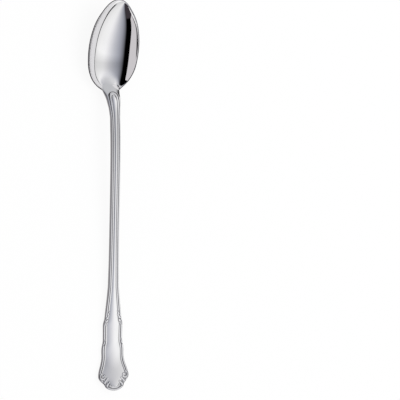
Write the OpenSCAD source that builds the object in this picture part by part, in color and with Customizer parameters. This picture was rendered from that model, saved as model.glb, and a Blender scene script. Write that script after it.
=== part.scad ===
// Iced tea spoon with a long stem and a thread and scroll handle end, lying on a table.
// +Y runs from the handle end to the bowl's tip, +Z is up, and X is the width.
// The spoon rests on the belly of its bowl and on the back of its handle end at Z = 0.

/* [Bowl] */
// Length of the bowl from the heel to the tip
bowl_length = 45.6; // [36:0.2:60]
// Width of the bowl over its rim
bowl_width = 29.2; // [24:0.2:40]
// Depth of the bowl from the rim to the inside of its bottom
bowl_depth = 6; // [4.8:0.1:8]
// Wall of the bowl at its bottom
bowl_wall = 1.1; // [0.8:0.1:2]
// Width of the rim seen from above
rim_width = 0.5; // [0.3:0.1:1.2]
// Height of the rim's upright edge
edge_height = 0.5; // [0.3:0.05:0.9]
// How much higher the rim is at the tip than at the heel
tip_rise = 10.8; // [6:0.2:13]

/* [Neck] */
// Length of the neck from the stem to the heel of the bowl
neck_length = 14; // [11:0.5:20]
// Width of the neck where it meets the bowl
heel_width = 9.4; // [9:0.2:13]
// Width of the neck where the arch of the moulding ends
neck_width = 7.9; // [6.8:0.2:8.6]
// Thickness of the neck where it bends down to the bowl
neck_thickness = 3.4; // [3.1:0.1:4.2]
// Thickness of the neck where it meets the bowl
heel_thickness = 2.7; // [2.4:0.1:3.4]
// How much higher the top of the neck is than the rim at the heel
neck_rise = 5.4; // [3:0.1:7]

/* [Stem] */
// Length of the stem between the neck and the handle end
stem_length = 86.4; // [50:0.2:120]
// Width of the stem
stem_width = 4.8; // [4.4:0.1:5.6]
// Thickness of the stem
stem_thickness = 2.8; // [2.2:0.1:3.5]
// Height of the upright sides of the stem
stem_side = 1.2; // [0.8:0.1:1.4]
// Radius of the rounded edges on the back of the stem
stem_round = 1.2; // [0.8:0.1:1.6]

/* [Handle end] */
// Length of the flare from the stem to the shoulders
flare_length = 19.2; // [14:0.2:28]
// Length of the straight sides below the shoulders
side_length = 9.6; // [7:0.2:14]
// Length of the waist between the cusps and the lobes
waist_length = 8; // [6:0.2:12]
// Length of the lobes from the waist to the corner scrolls
lobe_length = 9.7; // [7:0.2:14]
// Length of the rounded end below the corner scrolls
end_length = 7.5; // [6:0.1:10]
// Width of the flare where it meets the stem
flare_width = 5.5; // [5:0.1:6.5]
// Width over the shoulders
shoulder_width = 10.8; // [9:0.1:13]
// Width over the waist
waist_width = 12.5; // [10.8:0.1:14]
// Width over the corner scrolls
lobe_width = 17.3; // [14.4:0.1:21]
// Thickness of the handle end
end_thickness = 2.2; // [1.8:0.1:3]
// How much the end turns up from the table
end_rise = 1.7; // [0:0.1:2]
// Height of the upright sides of the handle end
end_side = 0.9; // [0.6:0.1:1.1]
// Radius of the rounded edges on the back of the handle end
end_round = 1.4; // [0.8:0.1:1.9]

/* [Moulding] */
// Width of the outer bead on the stem
stem_bead = 0.75; // [0.6:0.05:0.95]
// Width of the inner thread on the stem
stem_thread = 0.95; // [0.6:0.05:0.95]
// Width of the outer bead on the handle end
end_bead = 1; // [0.7:0.05:1.2]
// Width of the inner thread on the handle end
end_thread = 1; // [0.7:0.05:1.2]
// How far the bead's outer side falls to the edge
bead_fall = 0.1; // [0.1:0.05:0.5]
// Depth of the groove between the bead and the thread
groove_depth = 0.15; // [0.1:0.05:0.5]
// How far the centre panel lies below the thread
panel_depth = 0.15; // [0.1:0.05:0.5]
// How much the centre panel of the stem is crowned
stem_crown = 0.2; // [0:0.05:0.45]
// How much the centre panel of the handle end is crowned
panel_crown = 0.4; // [0:0.05:0.5]
// Height of the scrolls over the moulding
scroll_height = 0.25; // [0.1:0.05:0.6]
// Radius of the scrolls
scroll_radius = 1.1; // [0.7:0.05:1.5]

/* [Hidden] */

// Lengths that follow from the ones above
end_total = flare_length + side_length + waist_length + lobe_length + end_length;
stem_end = end_total + stem_length;
heel = stem_end + neck_length;
total = heel + bowl_length;
shoulder_s = end_total - flare_length;
cusp_s = shoulder_s - side_length;
waist_s = cusp_s - waist_length;
corner_s = waist_s - lobe_length;

// Counts of steps along the pieces, round the rim, in the bowl's depth and round the back
end_steps = 3;
neck_steps = 3;
stem_steps = 24;
rim_steps = 3;
depth_steps = 12;
land_steps = 3;
panel_steps = 3;
corner_steps = 5;
flat_steps = 2;
back_steps = corner_steps + flat_steps;

// Smooth curve through a list of points, from point i to point i + 1
function curve(p, i, t) =
    let (n = len(p) - 1,
         a = p[max(i - 1, 0)], b = p[i], c = p[min(i + 1, n)], d = p[min(i + 2, n)])
    b + (c - a) * t / 2 + (a * 2 - b * 5 + c * 4 - d) * t * t / 2
      + (b * 3 - a - c * 3 + d) * t * t * t / 2;
function along(p, to, n) =
    concat([for (i = [0 : to - 1], k = [0 : n - 1]) curve(p, i, k / n)], [p[to]]);

// Smooth value at a place in a table of places and values
function row_at(t, x, i = 0) = i >= len(t) - 2 || x < t[i + 1][0] ? i : row_at(t, x, i + 1);
function slope_at(t, i) =
    let (a = max(i - 1, 0), b = min(i + 1, len(t) - 1)) (t[b][1] - t[a][1]) / (t[b][0] - t[a][0]);
function value(t, x) =
    let (i = row_at(t, x), h = t[i + 1][0] - t[i][0],
         u = min(max((x - t[i][0]) / h, 0), 1), v = 1 - u)
    t[i][1] * v * v * (1 + 2 * u) + t[i + 1][1] * u * u * (3 - 2 * u)
    + h * (slope_at(t, i) * v * v * u - slope_at(t, i + 1) * u * u * v);
function ease(u) = let (v = min(max(u, 0), 1)) v * v * (3 - 2 * v);

// Mirror of a point in the middle plane
function flip(p) = [-p[0], p[1]];

// Rim of the bowl: a straight slope from heel to tip, whose height lets the belly touch the
// table at its deepest point
deep_share = 0.26;
deep_s = heel + bowl_length * deep_share;
rim_slope = tip_rise / bowl_length;
outer_depth = bowl_depth + bowl_wall;
rim_heel = outer_depth - rim_slope * (deep_s - heel);

// Height of the top's edge along the handle: shares of the rise from the low point of the
// handle end to the top of the neck, at shares of the length between them, and then shares
// of the drop from the top of the neck to the heel
low_share = 0.33;
low_s = end_total * low_share;
crest_share = 0.42;
crest_s = stem_end - neck_length * crest_share;
crest_z = rim_heel + neck_rise;
rise_shares = [
    [0, 0], [0.07, 0.03], [0.13, 0.095], [0.2, 0.19], [0.3, 0.315], [0.44, 0.475],
    [0.617, 0.665], [0.793, 0.865], [0.905, 0.965], [0.966, 0.995], [1, 1]];
drop_shares = [
    [0, 1], [0.2, 0.985], [0.475, 0.92], [0.63, 0.83], [0.8, 0.635], [0.935, 0.345], [1, 0.175]];
function edge_z(s) =
    s < low_s ? end_thickness + end_rise * pow((low_s - s) / low_s, 2)
    : s < crest_s ? end_thickness
        + (crest_z - end_thickness) * value(rise_shares, (s - low_s) / (crest_s - low_s))
    : rim_heel + neck_rise * value(drop_shares, (s - crest_s) / (heel - crest_s));

// Thickness along the handle, greatest where the neck bends down: shares of the way from the
// stem's thickness to the neck's, at shares of the length from the top of the neck to the heel
neck_thick_shares = [[0.475, 0.07], [0.63, 0.35], [0.8, 0.88], [0.93, 1]];
thick_table = concat(
    [[crest_s, stem_thickness]],
    [for (p = neck_thick_shares) [crest_s + (heel - crest_s) * p[0],
        stem_thickness + (neck_thickness - stem_thickness) * p[1]]],
    [[heel, heel_thickness]]);
function thick(s) = s > crest_s ? value(thick_table, s)
    : end_thickness + (stem_thickness - end_thickness) * ease((s - shoulder_s) / flare_length);

// Height of the upright side and radius of the back's edges along the handle
function neck_way(s) = ease((s - crest_s) / (heel - crest_s));
heel_round_share = 0.45;
function end_way(s) = ease((end_total - s) / flare_length);
function side_at(s) = stem_side + (end_side - stem_side) * end_way(s)
    + (edge_height - stem_side) * neck_way(s);
function round_at(s) = stem_round + (end_round - stem_round) * end_way(s)
    + (heel_width * heel_round_share - stem_round) * neck_way(s);

// Half width from the handle end to the heel, as shares of the widening between the named
// widths at shares of the lengths
foot_share = 0.1;
foot_width = stem_width + (neck_width - stem_width) * foot_share;
stem_half_shares = [[0.15, 0.35], [0.35, 0.03], [0.5, 0]];
neck_half_shares = [[0.14, 0.14], [0.32, 0.32], [0.53, 0.7], [0.75, 1]];
heel_half_shares = [[0.84, 0.33], [0.92, 0.66]];
half_table = concat(
    [[end_total, flare_width / 2]],
    [for (p = stem_half_shares)
        [end_total + stem_length * p[0], (stem_width + (flare_width - stem_width) * p[1]) / 2]],
    [[stem_end, foot_width / 2]],
    [for (p = neck_half_shares)
        [stem_end + neck_length * p[0], (foot_width + (neck_width - foot_width) * p[1]) / 2]],
    [for (p = heel_half_shares)
        [stem_end + neck_length * p[0], (neck_width + (heel_width - neck_width) * p[1]) / 2]],
    [[heel, heel_width / 2]]);
function half_at(s) = value(half_table, s);

// Height of the top before the moulding is cut, with a crown that dies out down the neck
crown_share = 0.15;
function top_z(p) =
    let (s = p[1], u = s < crest_s ? 0 : p[0] / half_at(s))
    edge_z(s) + neck_rise * crown_share * pow(neck_way(s), 2) * (1 - u * u);

// Bead, thread and panel: shares of the way between two lines, of the bead's fall or of the
// groove's depth, and of the depth beyond
bead_shares = [[0, 1, 0], [0.2, 0.3, 0], [0.5, 0, 0], [0.8, 0, 0.3], [1, 0, 1]];
thread_shares = [[0.25, 0.35, 0], [0.5, 0, 0], [0.75, 0, 0.35], [1, 0, 1]];
bead_last = len(bead_shares) - 1;
thread_last = len(thread_shares) - 1;
edge_column = panel_steps + thread_last + bead_last + 1;
last_column = edge_column + back_steps + 1;

// Scrolls: raised curls on the shoulders, the cusps and the corners, and beside the end
scroll_shares = [0.35, 1.3, 0.1, 0.27, 0.55];
scroll_places = [
    [shoulder_width / 2 - end_bead, shoulder_s],
    [waist_width / 2 - end_bead, cusp_s - waist_length * scroll_shares[0]],
    [lobe_width / 2 - scroll_radius * scroll_shares[1], corner_s - end_length * scroll_shares[2]],
    [lobe_width * scroll_shares[3], end_length * scroll_shares[4]]];
function scroll(p) = scroll_height * max([for (c = scroll_places)
    ease(1 - min(norm([abs(p[0]), p[1]] - c) / scroll_radius, 1))]);

// Points of one station of the top, from the middle to the edge: o, g and k are its points
// on the outline, the groove and the panel's edge, and way says how far the bead is formed
function sunk(p, down) = [p[0], p[1], top_z(p) + scroll(p) - down];
function crown_at(s) = stem_crown + (panel_crown - stem_crown) * end_way(s);
function top_row(o, g, k, way) = concat(
    [for (i = [0 : panel_steps]) let (u = i / panel_steps)
        sunk([k[0] * u, k[1]], panel_depth - crown_at(k[1]) * (1 - u * u))],
    [for (i = [thread_last - 1 : -1 : 0]) let (t = thread_shares[i])
        sunk(g + (k - g) * t[0], groove_depth * t[1] + panel_depth * t[2])],
    [for (i = [bead_last : -1 : 0]) let (t = bead_shares[i])
        sunk(o + (g - o) * t[0], bead_fall * t[1] * way + groove_depth * t[2])]);

// Points of the same station down the edge and over the back to the middle, along the way
// from o past k to m: the edge is upright, then an arc of radius r, then flat
function path(o, k, m, d) =
    let (a = norm(k - o))
    d < a || m == k ? o + (k - o) * min(d / a, 1) : k + (m - k) * min((d - a) / norm(m - k), 1);
function back_row(o, k, m, r, way) =
    let (reach = norm(k - o) + norm(m - k), q = min(r, reach))
    [for (j = [0 : back_steps])
        let (c = 90 * min(j / corner_steps, 1),
             p = path(o, k, m, q * (1 - cos(c))
                 + (reach - q) * max(j - corner_steps, 0) / flat_steps),
             upper = edge_z(p[1]) - bead_fall * way - side_at(p[1]),
             lower = edge_z(p[1]) - thick(p[1]))
        [p[0], p[1], upper + (lower - upper) * sin(c)]];
function bar_row(w, s, g, k, way) = concat(top_row([w, s], g, k, way),
    back_row([w, s], [w / 2, s], [0, s], round_at(s), way));

// Half outline of the handle end, from the stem to the middle of the end: shares of each
// stretch's length and of the way from one named half width to the next
function stretch(shares, s0, s1, w0, w1) =
    [for (p = shares) [w0 + (w1 - w0) * p[1], s0 + (s1 - s0) * p[0]]];
flare_shares = [[0, 0], [0.18, 0.13], [0.42, 0.33], [0.61, 0.51], [0.75, 0.63], [0.845, 0.71],
    [0.925, 0.85], [1, 1]];
side_shares = [[0.17, 1.01], [0.5, 1], [0.76, 0.995]];
cusp_shares = [[0, 0.08], [0.21, 0.55], [0.46, 0.92], [0.72, 0.98]];
lobe_shares = [[0, 0], [0.22, 0.15], [0.45, 0.43], [0.66, 0.73], [0.86, 0.94], [1, 1]];
end_shares = [[0.97, 0.845], [0.88, 0.7], [0.77, 0.57], [0.675, 0.465], [0.62, 0.365],
    [0.58, 0.265], [0.495, 0.172], [0.365, 0.086], [0.19, 0.024], [0, 0]];
outline_end = concat(
    stretch(flare_shares, end_total, shoulder_s, flare_width / 2, shoulder_width / 2),
    stretch(side_shares, shoulder_s, cusp_s, 0, shoulder_width / 2),
    stretch(cusp_shares, cusp_s, waist_s, shoulder_width / 2, waist_width / 2),
    stretch(lobe_shares, waist_s, corner_s, waist_width / 2, lobe_width / 2),
    [for (p = end_shares) [p[0] * lobe_width / 2, p[1] * corner_s]]);
end_last = len(outline_end) - 1;

// Inward direction at a point of the outline, taken over two points on each side
function inward(i) =
    let (b = i + 2 > end_last ? flip(outline_end[2 * end_last - i - 2]) : outline_end[i + 2],
         a = outline_end[max(i - 2, 0)], d = (b - a) / norm(b - a))
    i == 0 ? [-1, 0] : [d[1], -d[0]];
function border(s, w_stem, w_end) =
    w_stem + (w_end - w_stem) * ease((end_total - s) / flare_length);
function inner_line(w_stem, w_end) = [for (i = [0 : end_last])
    outline_end[i] + inward(i) * border(outline_end[i][1], w_stem, w_end)];
function closed(p) = concat(p, [flip(p[len(p) - 2])]);
end_o = along(closed(outline_end), end_last, end_steps);
end_g = along(closed(inner_line(stem_bead, end_bead)), end_last, end_steps);
end_k = along(closed(inner_line(stem_bead + stem_thread, end_bead + end_thread)),
    end_last, end_steps);
end_rows = [for (i = [0 : len(end_o) - 1]) let (o = end_o[i], k = end_k[i])
    concat(top_row(o, end_g[i], k, 1), back_row(o, k, [0, k[1]], round_at(o[1]), 1))];

// Arch of the groove and of the panel in the neck: shares of the neck's width and length
groove_arch_shares = [[0, 0.05], [0.07, 0.053], [0.13, 0.063], [0.18, 0.08], [0.225, 0.1],
    [0.265, 0.13], [0.3, 0.165], [0.32, 0.2], [0.332, 0.245], [0.338, 0.31], [0.335, 0.39],
    [0.32, 0.5], [0.297, 0.63], [0.26, 0.8]];
panel_arch_shares = [[0, 0.143], [0.035, 0.146], [0.066, 0.154], [0.094, 0.167],
    [0.118, 0.185], [0.14, 0.21], [0.156, 0.24], [0.165, 0.27], [0.17, 0.31], [0.172, 0.37],
    [0.168, 0.445], [0.158, 0.54], [0.142, 0.66], [0.122, 0.82]];
neck_places_shares = [0.09, 0.19, 0.32, 0.46, 0.62, 0.8];
heel_steps = back_steps;
function arch(shares, w) = concat(
    [for (p = shares) [neck_width * p[0], heel - neck_length * p[1]]],
    [[foot_width / 2 - w, stem_end]]);
neck_o = concat(
    [for (i = [0 : heel_steps]) [heel_width / 2 * i / heel_steps, heel]],
    [for (u = neck_places_shares) [half_at(heel - neck_length * u), heel - neck_length * u]],
    [[foot_width / 2, stem_end]]);
neck_g = arch(groove_arch_shares, stem_bead);
neck_k = arch(panel_arch_shares, stem_bead + stem_thread);

// Stations of the neck: those on the flat towards the bowl fill it, the others run on
heel_top = [for (i = [0 : heel_steps]) top_row(neck_o[i], neck_g[i], neck_k[i], 0)];
heel_back = back_row([heel_width / 2, heel], [heel_width / 4, heel], [0, heel],
    round_at(heel), 0);
heel_face = [for (i = [0 : heel_steps - 1])
    let (a = [0, heel, top_z([0, heel])], b = heel_back[back_steps])
    concat(heel_top[i], [for (j = [0 : back_steps])
        let (m = a + (b - a) * (j + 1) / (back_steps + 1))
        m + (heel_back[j] - m) * i / heel_steps])];
form_share = 0.25;
function neck_row(o, g, k) = bar_row(o[0], o[1], g, k,
    ease((heel - o[1]) / (neck_length * form_share)));
neck_below = [for (i = [heel_steps : len(neck_o) - 2], j = [0 : neck_steps - 1])
    let (s = curve(neck_o, i, j / neck_steps)[1], last = len(neck_o) - 1,
         o = i == heel_steps && j == 0 ? neck_o[i] : [half_at(s), s])
    neck_row(o, curve(neck_g, i, j / neck_steps), curve(neck_k, i, j / neck_steps))];
function stem_row(s) = let (w = half_at(s))
    bar_row(w, s, [w - stem_bead, s], [w - stem_bead - stem_thread, s], 1);
neck_rows = concat(heel_face, neck_below, [stem_row(stem_end)]);
stem_rows = [for (i = [0 : stem_steps]) stem_row(stem_end - stem_length * i / stem_steps)];

// Closed solid through stations of half a loop each, mirrored in the middle plane; a first
// or last station in the middle plane closes that end, and another end gets a flat
function whole(t) = t[0] != t[1] && t[1] != t[2] && t[2] != t[0];
module bar(rows, first_mid, last_mid, fan) {
    n = len(rows);
    loop = 2 * last_column;
    points = [for (r = rows) each concat(r,
        [for (c = [last_column - 1 : -1 : 1]) [-r[c][0], r[c][1], r[c][2]]])];
    function id(r, c0) =
        let (c1 = c0 % loop, mid = (r == 0 && first_mid) || (r == n - 1 && last_mid),
             c2 = mid && c1 > last_column ? loop - c1 : c1,
             c3 = mid && c2 < panel_steps ? panel_steps : c2,
             r3 = c3 == last_column && r < fan ? fan : r)
        r3 * loop + c3;
    sides = [for (r = [0 : n - 2], c = [0 : loop - 1])
        let (a = id(r, c), b = id(r, c + 1), d = id(r + 1, c), e = id(r + 1, c + 1))
        each (c < last_column ? [[a, b, e], [a, e, d]] : [[a, b, d], [b, e, d]])];
    caps = concat(
        first_mid ? [] : [[for (c = [loop - 1 : -1 : 0]) c]],
        last_mid ? [] : [[for (c = [0 : loop - 1]) (n - 1) * loop + c]]);
    translate([0, -total / 2, 0])
        polyhedron(points = points, faces = concat([for (f = sides) if (whole(f)) f], caps));
}

// Half of the bowl's outline from the tip to the heel: shares of the half width, and of the
// bowl's length from the tip
bowl_shares = [
    [0, 0], [0.14, 0.006], [0.275, 0.026], [0.425, 0.066], [0.578, 0.125], [0.712, 0.187],
    [0.831, 0.261], [0.919, 0.348], [0.977, 0.446], [1, 0.56], [0.977, 0.68], [0.936, 0.755],
    [0.868, 0.815], [0.762, 0.876], [0.642, 0.922], [0.525, 0.955], [0.415, 0.981]];
bowl_points = concat(
    [for (p = bowl_shares) [p[0] * bowl_width / 2, total - p[1] * bowl_length]],
    [[heel_width / 2, heel]]);
bowl_last = len(bowl_points) - 1;
rim_o = along(bowl_points, bowl_last, rim_steps);
rim_last = len(rim_o) - 1;
ray_last = rim_last + heel_steps;

// Inner line of the rim, which leaves the outline's side and closes over the heel in one curve
heel_land_share = 0.03;
turn_share = 0.88;
turn = round(rim_last * turn_share);
function rim_in(i) =
    let (a = i == 0 ? [-rim_o[1][0], rim_o[1][1]] : rim_o[i - 1], b = rim_o[i + 1],
         d = (b - a) / norm(b - a))
    rim_o[i] + [d[1], -d[0]] * rim_width;
turn_in = rim_in(turn);
turn_way = (turn_in - rim_in(turn - 1)) / norm(turn_in - rim_in(turn - 1));
heel_in = [0, heel + bowl_length * heel_land_share];
function rim_inner(i) =
    let (u = (i - turn) / (ray_last - turn), v = 1 - u)
    i < turn ? rim_in(i)
    : turn_in * v * v * (1 + 2 * u) + heel_in * u * u * (3 - 2 * u)
      + (turn_way * v + [1, 0] * u) * u * v * norm(turn_in - heel_in);

// Height of the rim, which lifts to meet the neck, and the arc of the bowl's section
heel_lift_share = 0.175;
lift_length_share = 0.082;
function rim_top(s) = rim_heel + rim_slope * (s - heel)
    + neck_rise * heel_lift_share
    * pow(max(1 - (s - heel) / (bowl_length * lift_length_share), 0), 3);
arc_share = 0.88;
function climb(q) =
    (1 - sqrt(1 - pow(arc_share * q, 2))) / (1 - sqrt(1 - pow(arc_share, 2)));

// One ray of the bowl: from the middle of the inside over the rim to the middle outside,
// where the heel thickens only in the outer part of the ray
heel_blend_shares = [0.25, 0.9];
function heel_blend(q) =
    ease((q - heel_blend_shares[0]) / (heel_blend_shares[1] - heel_blend_shares[0]));
function ray(i) =
    let (t = rim_inner(i), j = i - rim_last,
         o = j <= 0 ? rim_o[i] : neck_o[heel_steps - j],
         inner = [t[0], t[1], rim_top(t[1])],
         outer = [o[0], o[1], j <= 0 ? rim_top(o[1]) : top_z(o)],
         under = j <= 0 ? outer - [0, 0, edge_height] : heel_back[j],
         full = rim_top(o[1]) - edge_height)
    concat(
        [for (n = [1 : depth_steps]) let (q = n / depth_steps)
            [inner[0] * q, deep_s + (inner[1] - deep_s) * q,
             bowl_wall + (inner[2] - bowl_wall) * climb(q)]],
        [for (n = [1 : land_steps]) inner + (outer - inner) * n / land_steps],
        [for (n = [depth_steps : -1 : 1]) let (q = n / depth_steps)
            [under[0] * q, deep_s + (under[1] - deep_s) * q,
             (full + (under[2] - full) * heel_blend(q)) * climb(q)]]);

module bowl() {
    half = [for (i = [0 : ray_last]) ray(i)];
    rays = concat(half, [for (i = [ray_last - 1 : -1 : 1])
        [for (p = half[i]) [-p[0], p[1], p[2]]]]);
    m = len(rays[0]);
    n = len(rays);
    points = concat([for (r = rays) each r], [[0, deep_s, bowl_wall], [0, deep_s, 0]]);
    faces = concat(
        [for (r = [0 : n - 1], c = [0 : m - 2])
            let (a = r * m + c, d = (r + 1) % n * m + c)
            each (r < n / 2 ? [[a, a + 1, d + 1], [a, d + 1, d]] : [[a, a + 1, d], [a + 1, d + 1, d]])],
        [for (r = [0 : n - 1]) [n * m, r * m, (r + 1) % n * m]],
        [for (r = [0 : n - 1]) [n * m + 1, (r + 1) % n * m + m - 1, r * m + m - 1]]);
    color("silver")
        translate([0, -total / 2, 0]) polyhedron(points = points, faces = faces);
}

module neck() {
    color("silver") bar(neck_rows, true, false, heel_steps);
}

module stem() {
    color("silver") bar(stem_rows, false, false, 0);
}

module handle_end() {
    color("silver") bar(end_rows, false, true, 0);
}

bowl();
neck();
stem();
handle_end();
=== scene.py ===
"""Looks of an iced tea spoon: a mirror-polished metal spoon with a long stem, built over the
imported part, with its floor, light and camera. All lengths are in metres in the scene's
frame, and in millimetres inside the shape functions. The place along the spoon is called s:
0 at the end of the handle and the whole length at the tip of the bowl."""

import math

import bmesh
import bpy
import numpy as np
from bpy.props import FloatProperty, FloatVectorProperty, PointerProperty
from mathutils import Matrix, Vector


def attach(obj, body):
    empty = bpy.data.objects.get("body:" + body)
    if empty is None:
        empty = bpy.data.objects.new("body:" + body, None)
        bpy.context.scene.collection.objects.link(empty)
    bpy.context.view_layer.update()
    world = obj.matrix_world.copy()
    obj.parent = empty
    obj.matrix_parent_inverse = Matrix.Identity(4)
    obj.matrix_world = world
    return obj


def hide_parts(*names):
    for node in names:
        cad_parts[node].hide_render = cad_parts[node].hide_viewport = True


bl_info = {
    "name": "Iced tea spoon looks",
    "version": (1, 0, 0),
    "blender": (4, 5, 0),
    "location": "3D View > Sidebar > Spoon",
    "description": "Polished bowl, neck, stem and scrolled handle end of an iced tea spoon",
    "category": "Object",
}

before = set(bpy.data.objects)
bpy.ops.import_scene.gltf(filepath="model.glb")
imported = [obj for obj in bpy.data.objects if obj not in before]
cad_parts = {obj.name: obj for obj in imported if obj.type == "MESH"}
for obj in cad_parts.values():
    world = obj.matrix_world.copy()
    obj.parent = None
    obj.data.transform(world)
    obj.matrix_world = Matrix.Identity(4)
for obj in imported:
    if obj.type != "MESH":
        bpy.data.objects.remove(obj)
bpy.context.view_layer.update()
MM = 0.001
TINY = 1e-9


# Curves


def ease(u):
    """Runs smoothly from 0 to 1: three times the square less twice the cube, held outside."""
    v = np.clip(u, 0.0, 1.0)
    return v * v * (3.0 - 2.0 * v)


def smooth_max(a, b, wide):
    """The higher of two heights. Where they differ by less than wide, the cube of the share
    that is left of it, times a sixth of wide, is added, so they meet without a crease."""
    close = np.clip(1 - np.abs(a - b) / wide, 0, None)
    return np.maximum(a, b) + close**3 * wide / 6


def fair(knots, values, where):
    """Cubic spline through values at knots. Its second derivatives solve the usual
    tridiagonal system and vanish at both ends, so the bend runs on evenly at each knot."""
    x = np.asarray(knots, float)
    y = np.asarray(values, float).reshape(len(x), -1)
    h = np.diff(x)
    system = np.eye(len(x))
    i = np.arange(1, len(x) - 1)
    system[i, i - 1], system[i, i], system[i, i + 1] = h[:-1], 2 * (h[:-1] + h[1:]), h[1:]
    bend = np.zeros_like(y)
    bend[1:-1] = 6 * np.diff(np.diff(y, axis=0) / h[:, None], axis=0)
    bend = np.linalg.solve(system, bend)
    where = np.asarray(where, float)
    j = np.clip(np.searchsorted(x, where, side="right") - 1, 0, len(h) - 1)
    u = ((where - x[j]) / h[j])[..., None]
    v, d = 1 - u, h[j][..., None]
    return v * y[j] + u * y[j + 1] + ((v**3 - v) * bend[j] + (u**3 - u) * bend[j + 1]) * d**2 / 6


def lengths(points):
    """Length of the chords up to each point of a line, from 0 at its first one."""
    return np.r_[0, np.cumsum(np.linalg.norm(np.diff(points, axis=0), axis=1))]


def fair_line(points, where):
    """Fair curve through points of a plane, at places counted in points from the first one;
    the spline's knots are the lengths of the chords up to each point."""
    chord = lengths(points)
    return fair(chord, points, np.interp(where, np.arange(len(points)), chord))


def flip(points):
    """Mirror of points in the middle plane."""
    mirror = np.array(points, float)
    mirror[..., 0] *= -1
    return mirror


def unit(v):
    """Vectors of length one along the last axis."""
    return v / np.maximum(np.linalg.norm(v, axis=-1, keepdims=True), TINY)


def turned(v):
    """Vectors of the plane, turned a quarter clockwise."""
    return np.stack([v[..., 1], -v[..., 0]], -1)


def stretch(shares, s0, s1, v0, v1):
    """Knots of a stretch from their shares: places between s0 and s1, and values between v0
    and v1."""
    return np.array([s0, v0]) + np.array(shares, float) * [s1 - s0, v1 - v0]


# Shares of the turned-up end, the handle's rise and the neck's drop along their lengths
TURN = [(u, (1 - u) ** 2) for u in (0, 0.25, 0.5, 0.75)]
RISE = [(0, 0), (0.07, 0.03), (0.13, 0.095), (0.2, 0.19), (0.3, 0.315), (0.44, 0.475),
        (0.617, 0.665), (0.793, 0.865), (0.905, 0.965), (0.966, 0.995), (1, 1)]
DROP = [(0.2, 0.985), (0.475, 0.92), (0.63, 0.83), (0.8, 0.635), (0.935, 0.345), (1, 0.175)]
NECK_THICK = [(0, 0), (0.475, 0.07), (0.63, 0.35), (0.8, 0.88), (0.93, 1)]
# Shares of the widening along the stem, the neck and the heel
STEM_HALF = [(0.15, 0.35), (0.35, 0.03), (0.5, 0)]
NECK_HALF = [(0.14, 0.14), (0.32, 0.32), (0.53, 0.7), (0.75, 1)]
HEEL_HALF = [(0.84, 0.33), (0.92, 0.66)]
# Half outline of the handle end, stretch by stretch: shares along and across
FLARE = [(0, 0), (0.18, 0.13), (0.42, 0.33), (0.61, 0.51), (0.75, 0.63), (0.845, 0.71),
         (0.925, 0.85), (1, 1)]
SIDE = [(0.17, 1.01), (0.5, 1), (0.76, 0.995)]
CUSP = [(0, 0.08), (0.21, 0.55), (0.46, 0.92), (0.72, 0.98)]
LOBE = [(0, 0), (0.22, 0.15), (0.45, 0.43), (0.66, 0.73), (0.86, 0.94), (1, 1)]
# Its rounded end: shares of the half width over the corners and of the end's length
END = [(0.97, 0.845), (0.88, 0.7), (0.77, 0.57), (0.675, 0.465), (0.62, 0.365), (0.58, 0.265),
       (0.495, 0.172), (0.365, 0.086), (0.19, 0.024), (0, 0)]
# Arch of the groove and of the panel in the neck: shares of its width and of its length
GROOVE_ARCH = [(0, 0.05), (0.07, 0.053), (0.13, 0.063), (0.18, 0.08), (0.225, 0.1),
               (0.265, 0.13), (0.3, 0.165), (0.32, 0.2), (0.332, 0.245), (0.338, 0.31),
               (0.335, 0.39), (0.32, 0.5), (0.297, 0.63), (0.26, 0.8)]
PANEL_ARCH = [(0, 0.143), (0.035, 0.146), (0.066, 0.154), (0.094, 0.167), (0.118, 0.185),
              (0.14, 0.21), (0.156, 0.24), (0.165, 0.27), (0.17, 0.31), (0.172, 0.37),
              (0.168, 0.445), (0.158, 0.54), (0.142, 0.66), (0.122, 0.82)]
NECK_PLACES = [0.09, 0.19, 0.32, 0.46, 0.62, 0.8]
# Half outline of the bowl from the tip to the heel: shares of its half width and length
BOWL = [(0, 0), (0.14, 0.006), (0.275, 0.026), (0.425, 0.066), (0.578, 0.125), (0.712, 0.187),
        (0.831, 0.261), (0.919, 0.348), (0.977, 0.446), (1, 0.56), (0.977, 0.68),
        (0.936, 0.755), (0.868, 0.815), (0.762, 0.876), (0.642, 0.922), (0.525, 0.955),
        (0.415, 0.981)]
# Steps in which the joint at the heel is counted, and those between two points of the rim
HEEL_STEPS = 7
RIM_STEPS = 3


# Sizes


def length(name, text, value, least=0):
    """Property for a length. Its default and its least value are given in millimetres."""
    return FloatProperty(name=name, description=text, default=value * MM, min=least * MM,
                         unit="LENGTH", subtype="DISTANCE", precision=5)


def angle(name, text, value):
    """Property for an angle, whose default is given in degrees."""
    return FloatProperty(name=name, description=text, default=math.radians(value),
                         subtype="ANGLE", unit="ROTATION")


def share(name, text, value):
    """Property for a share between 0 and 1."""
    return FloatProperty(name=name, description=text, default=value, min=0, max=1,
                         subtype="FACTOR")


def tint(name, text, value):
    """Property for a colour."""
    return FloatVectorProperty(name=name, description=text, default=value, min=0, max=1,
                               size=3, subtype="COLOR")


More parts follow.
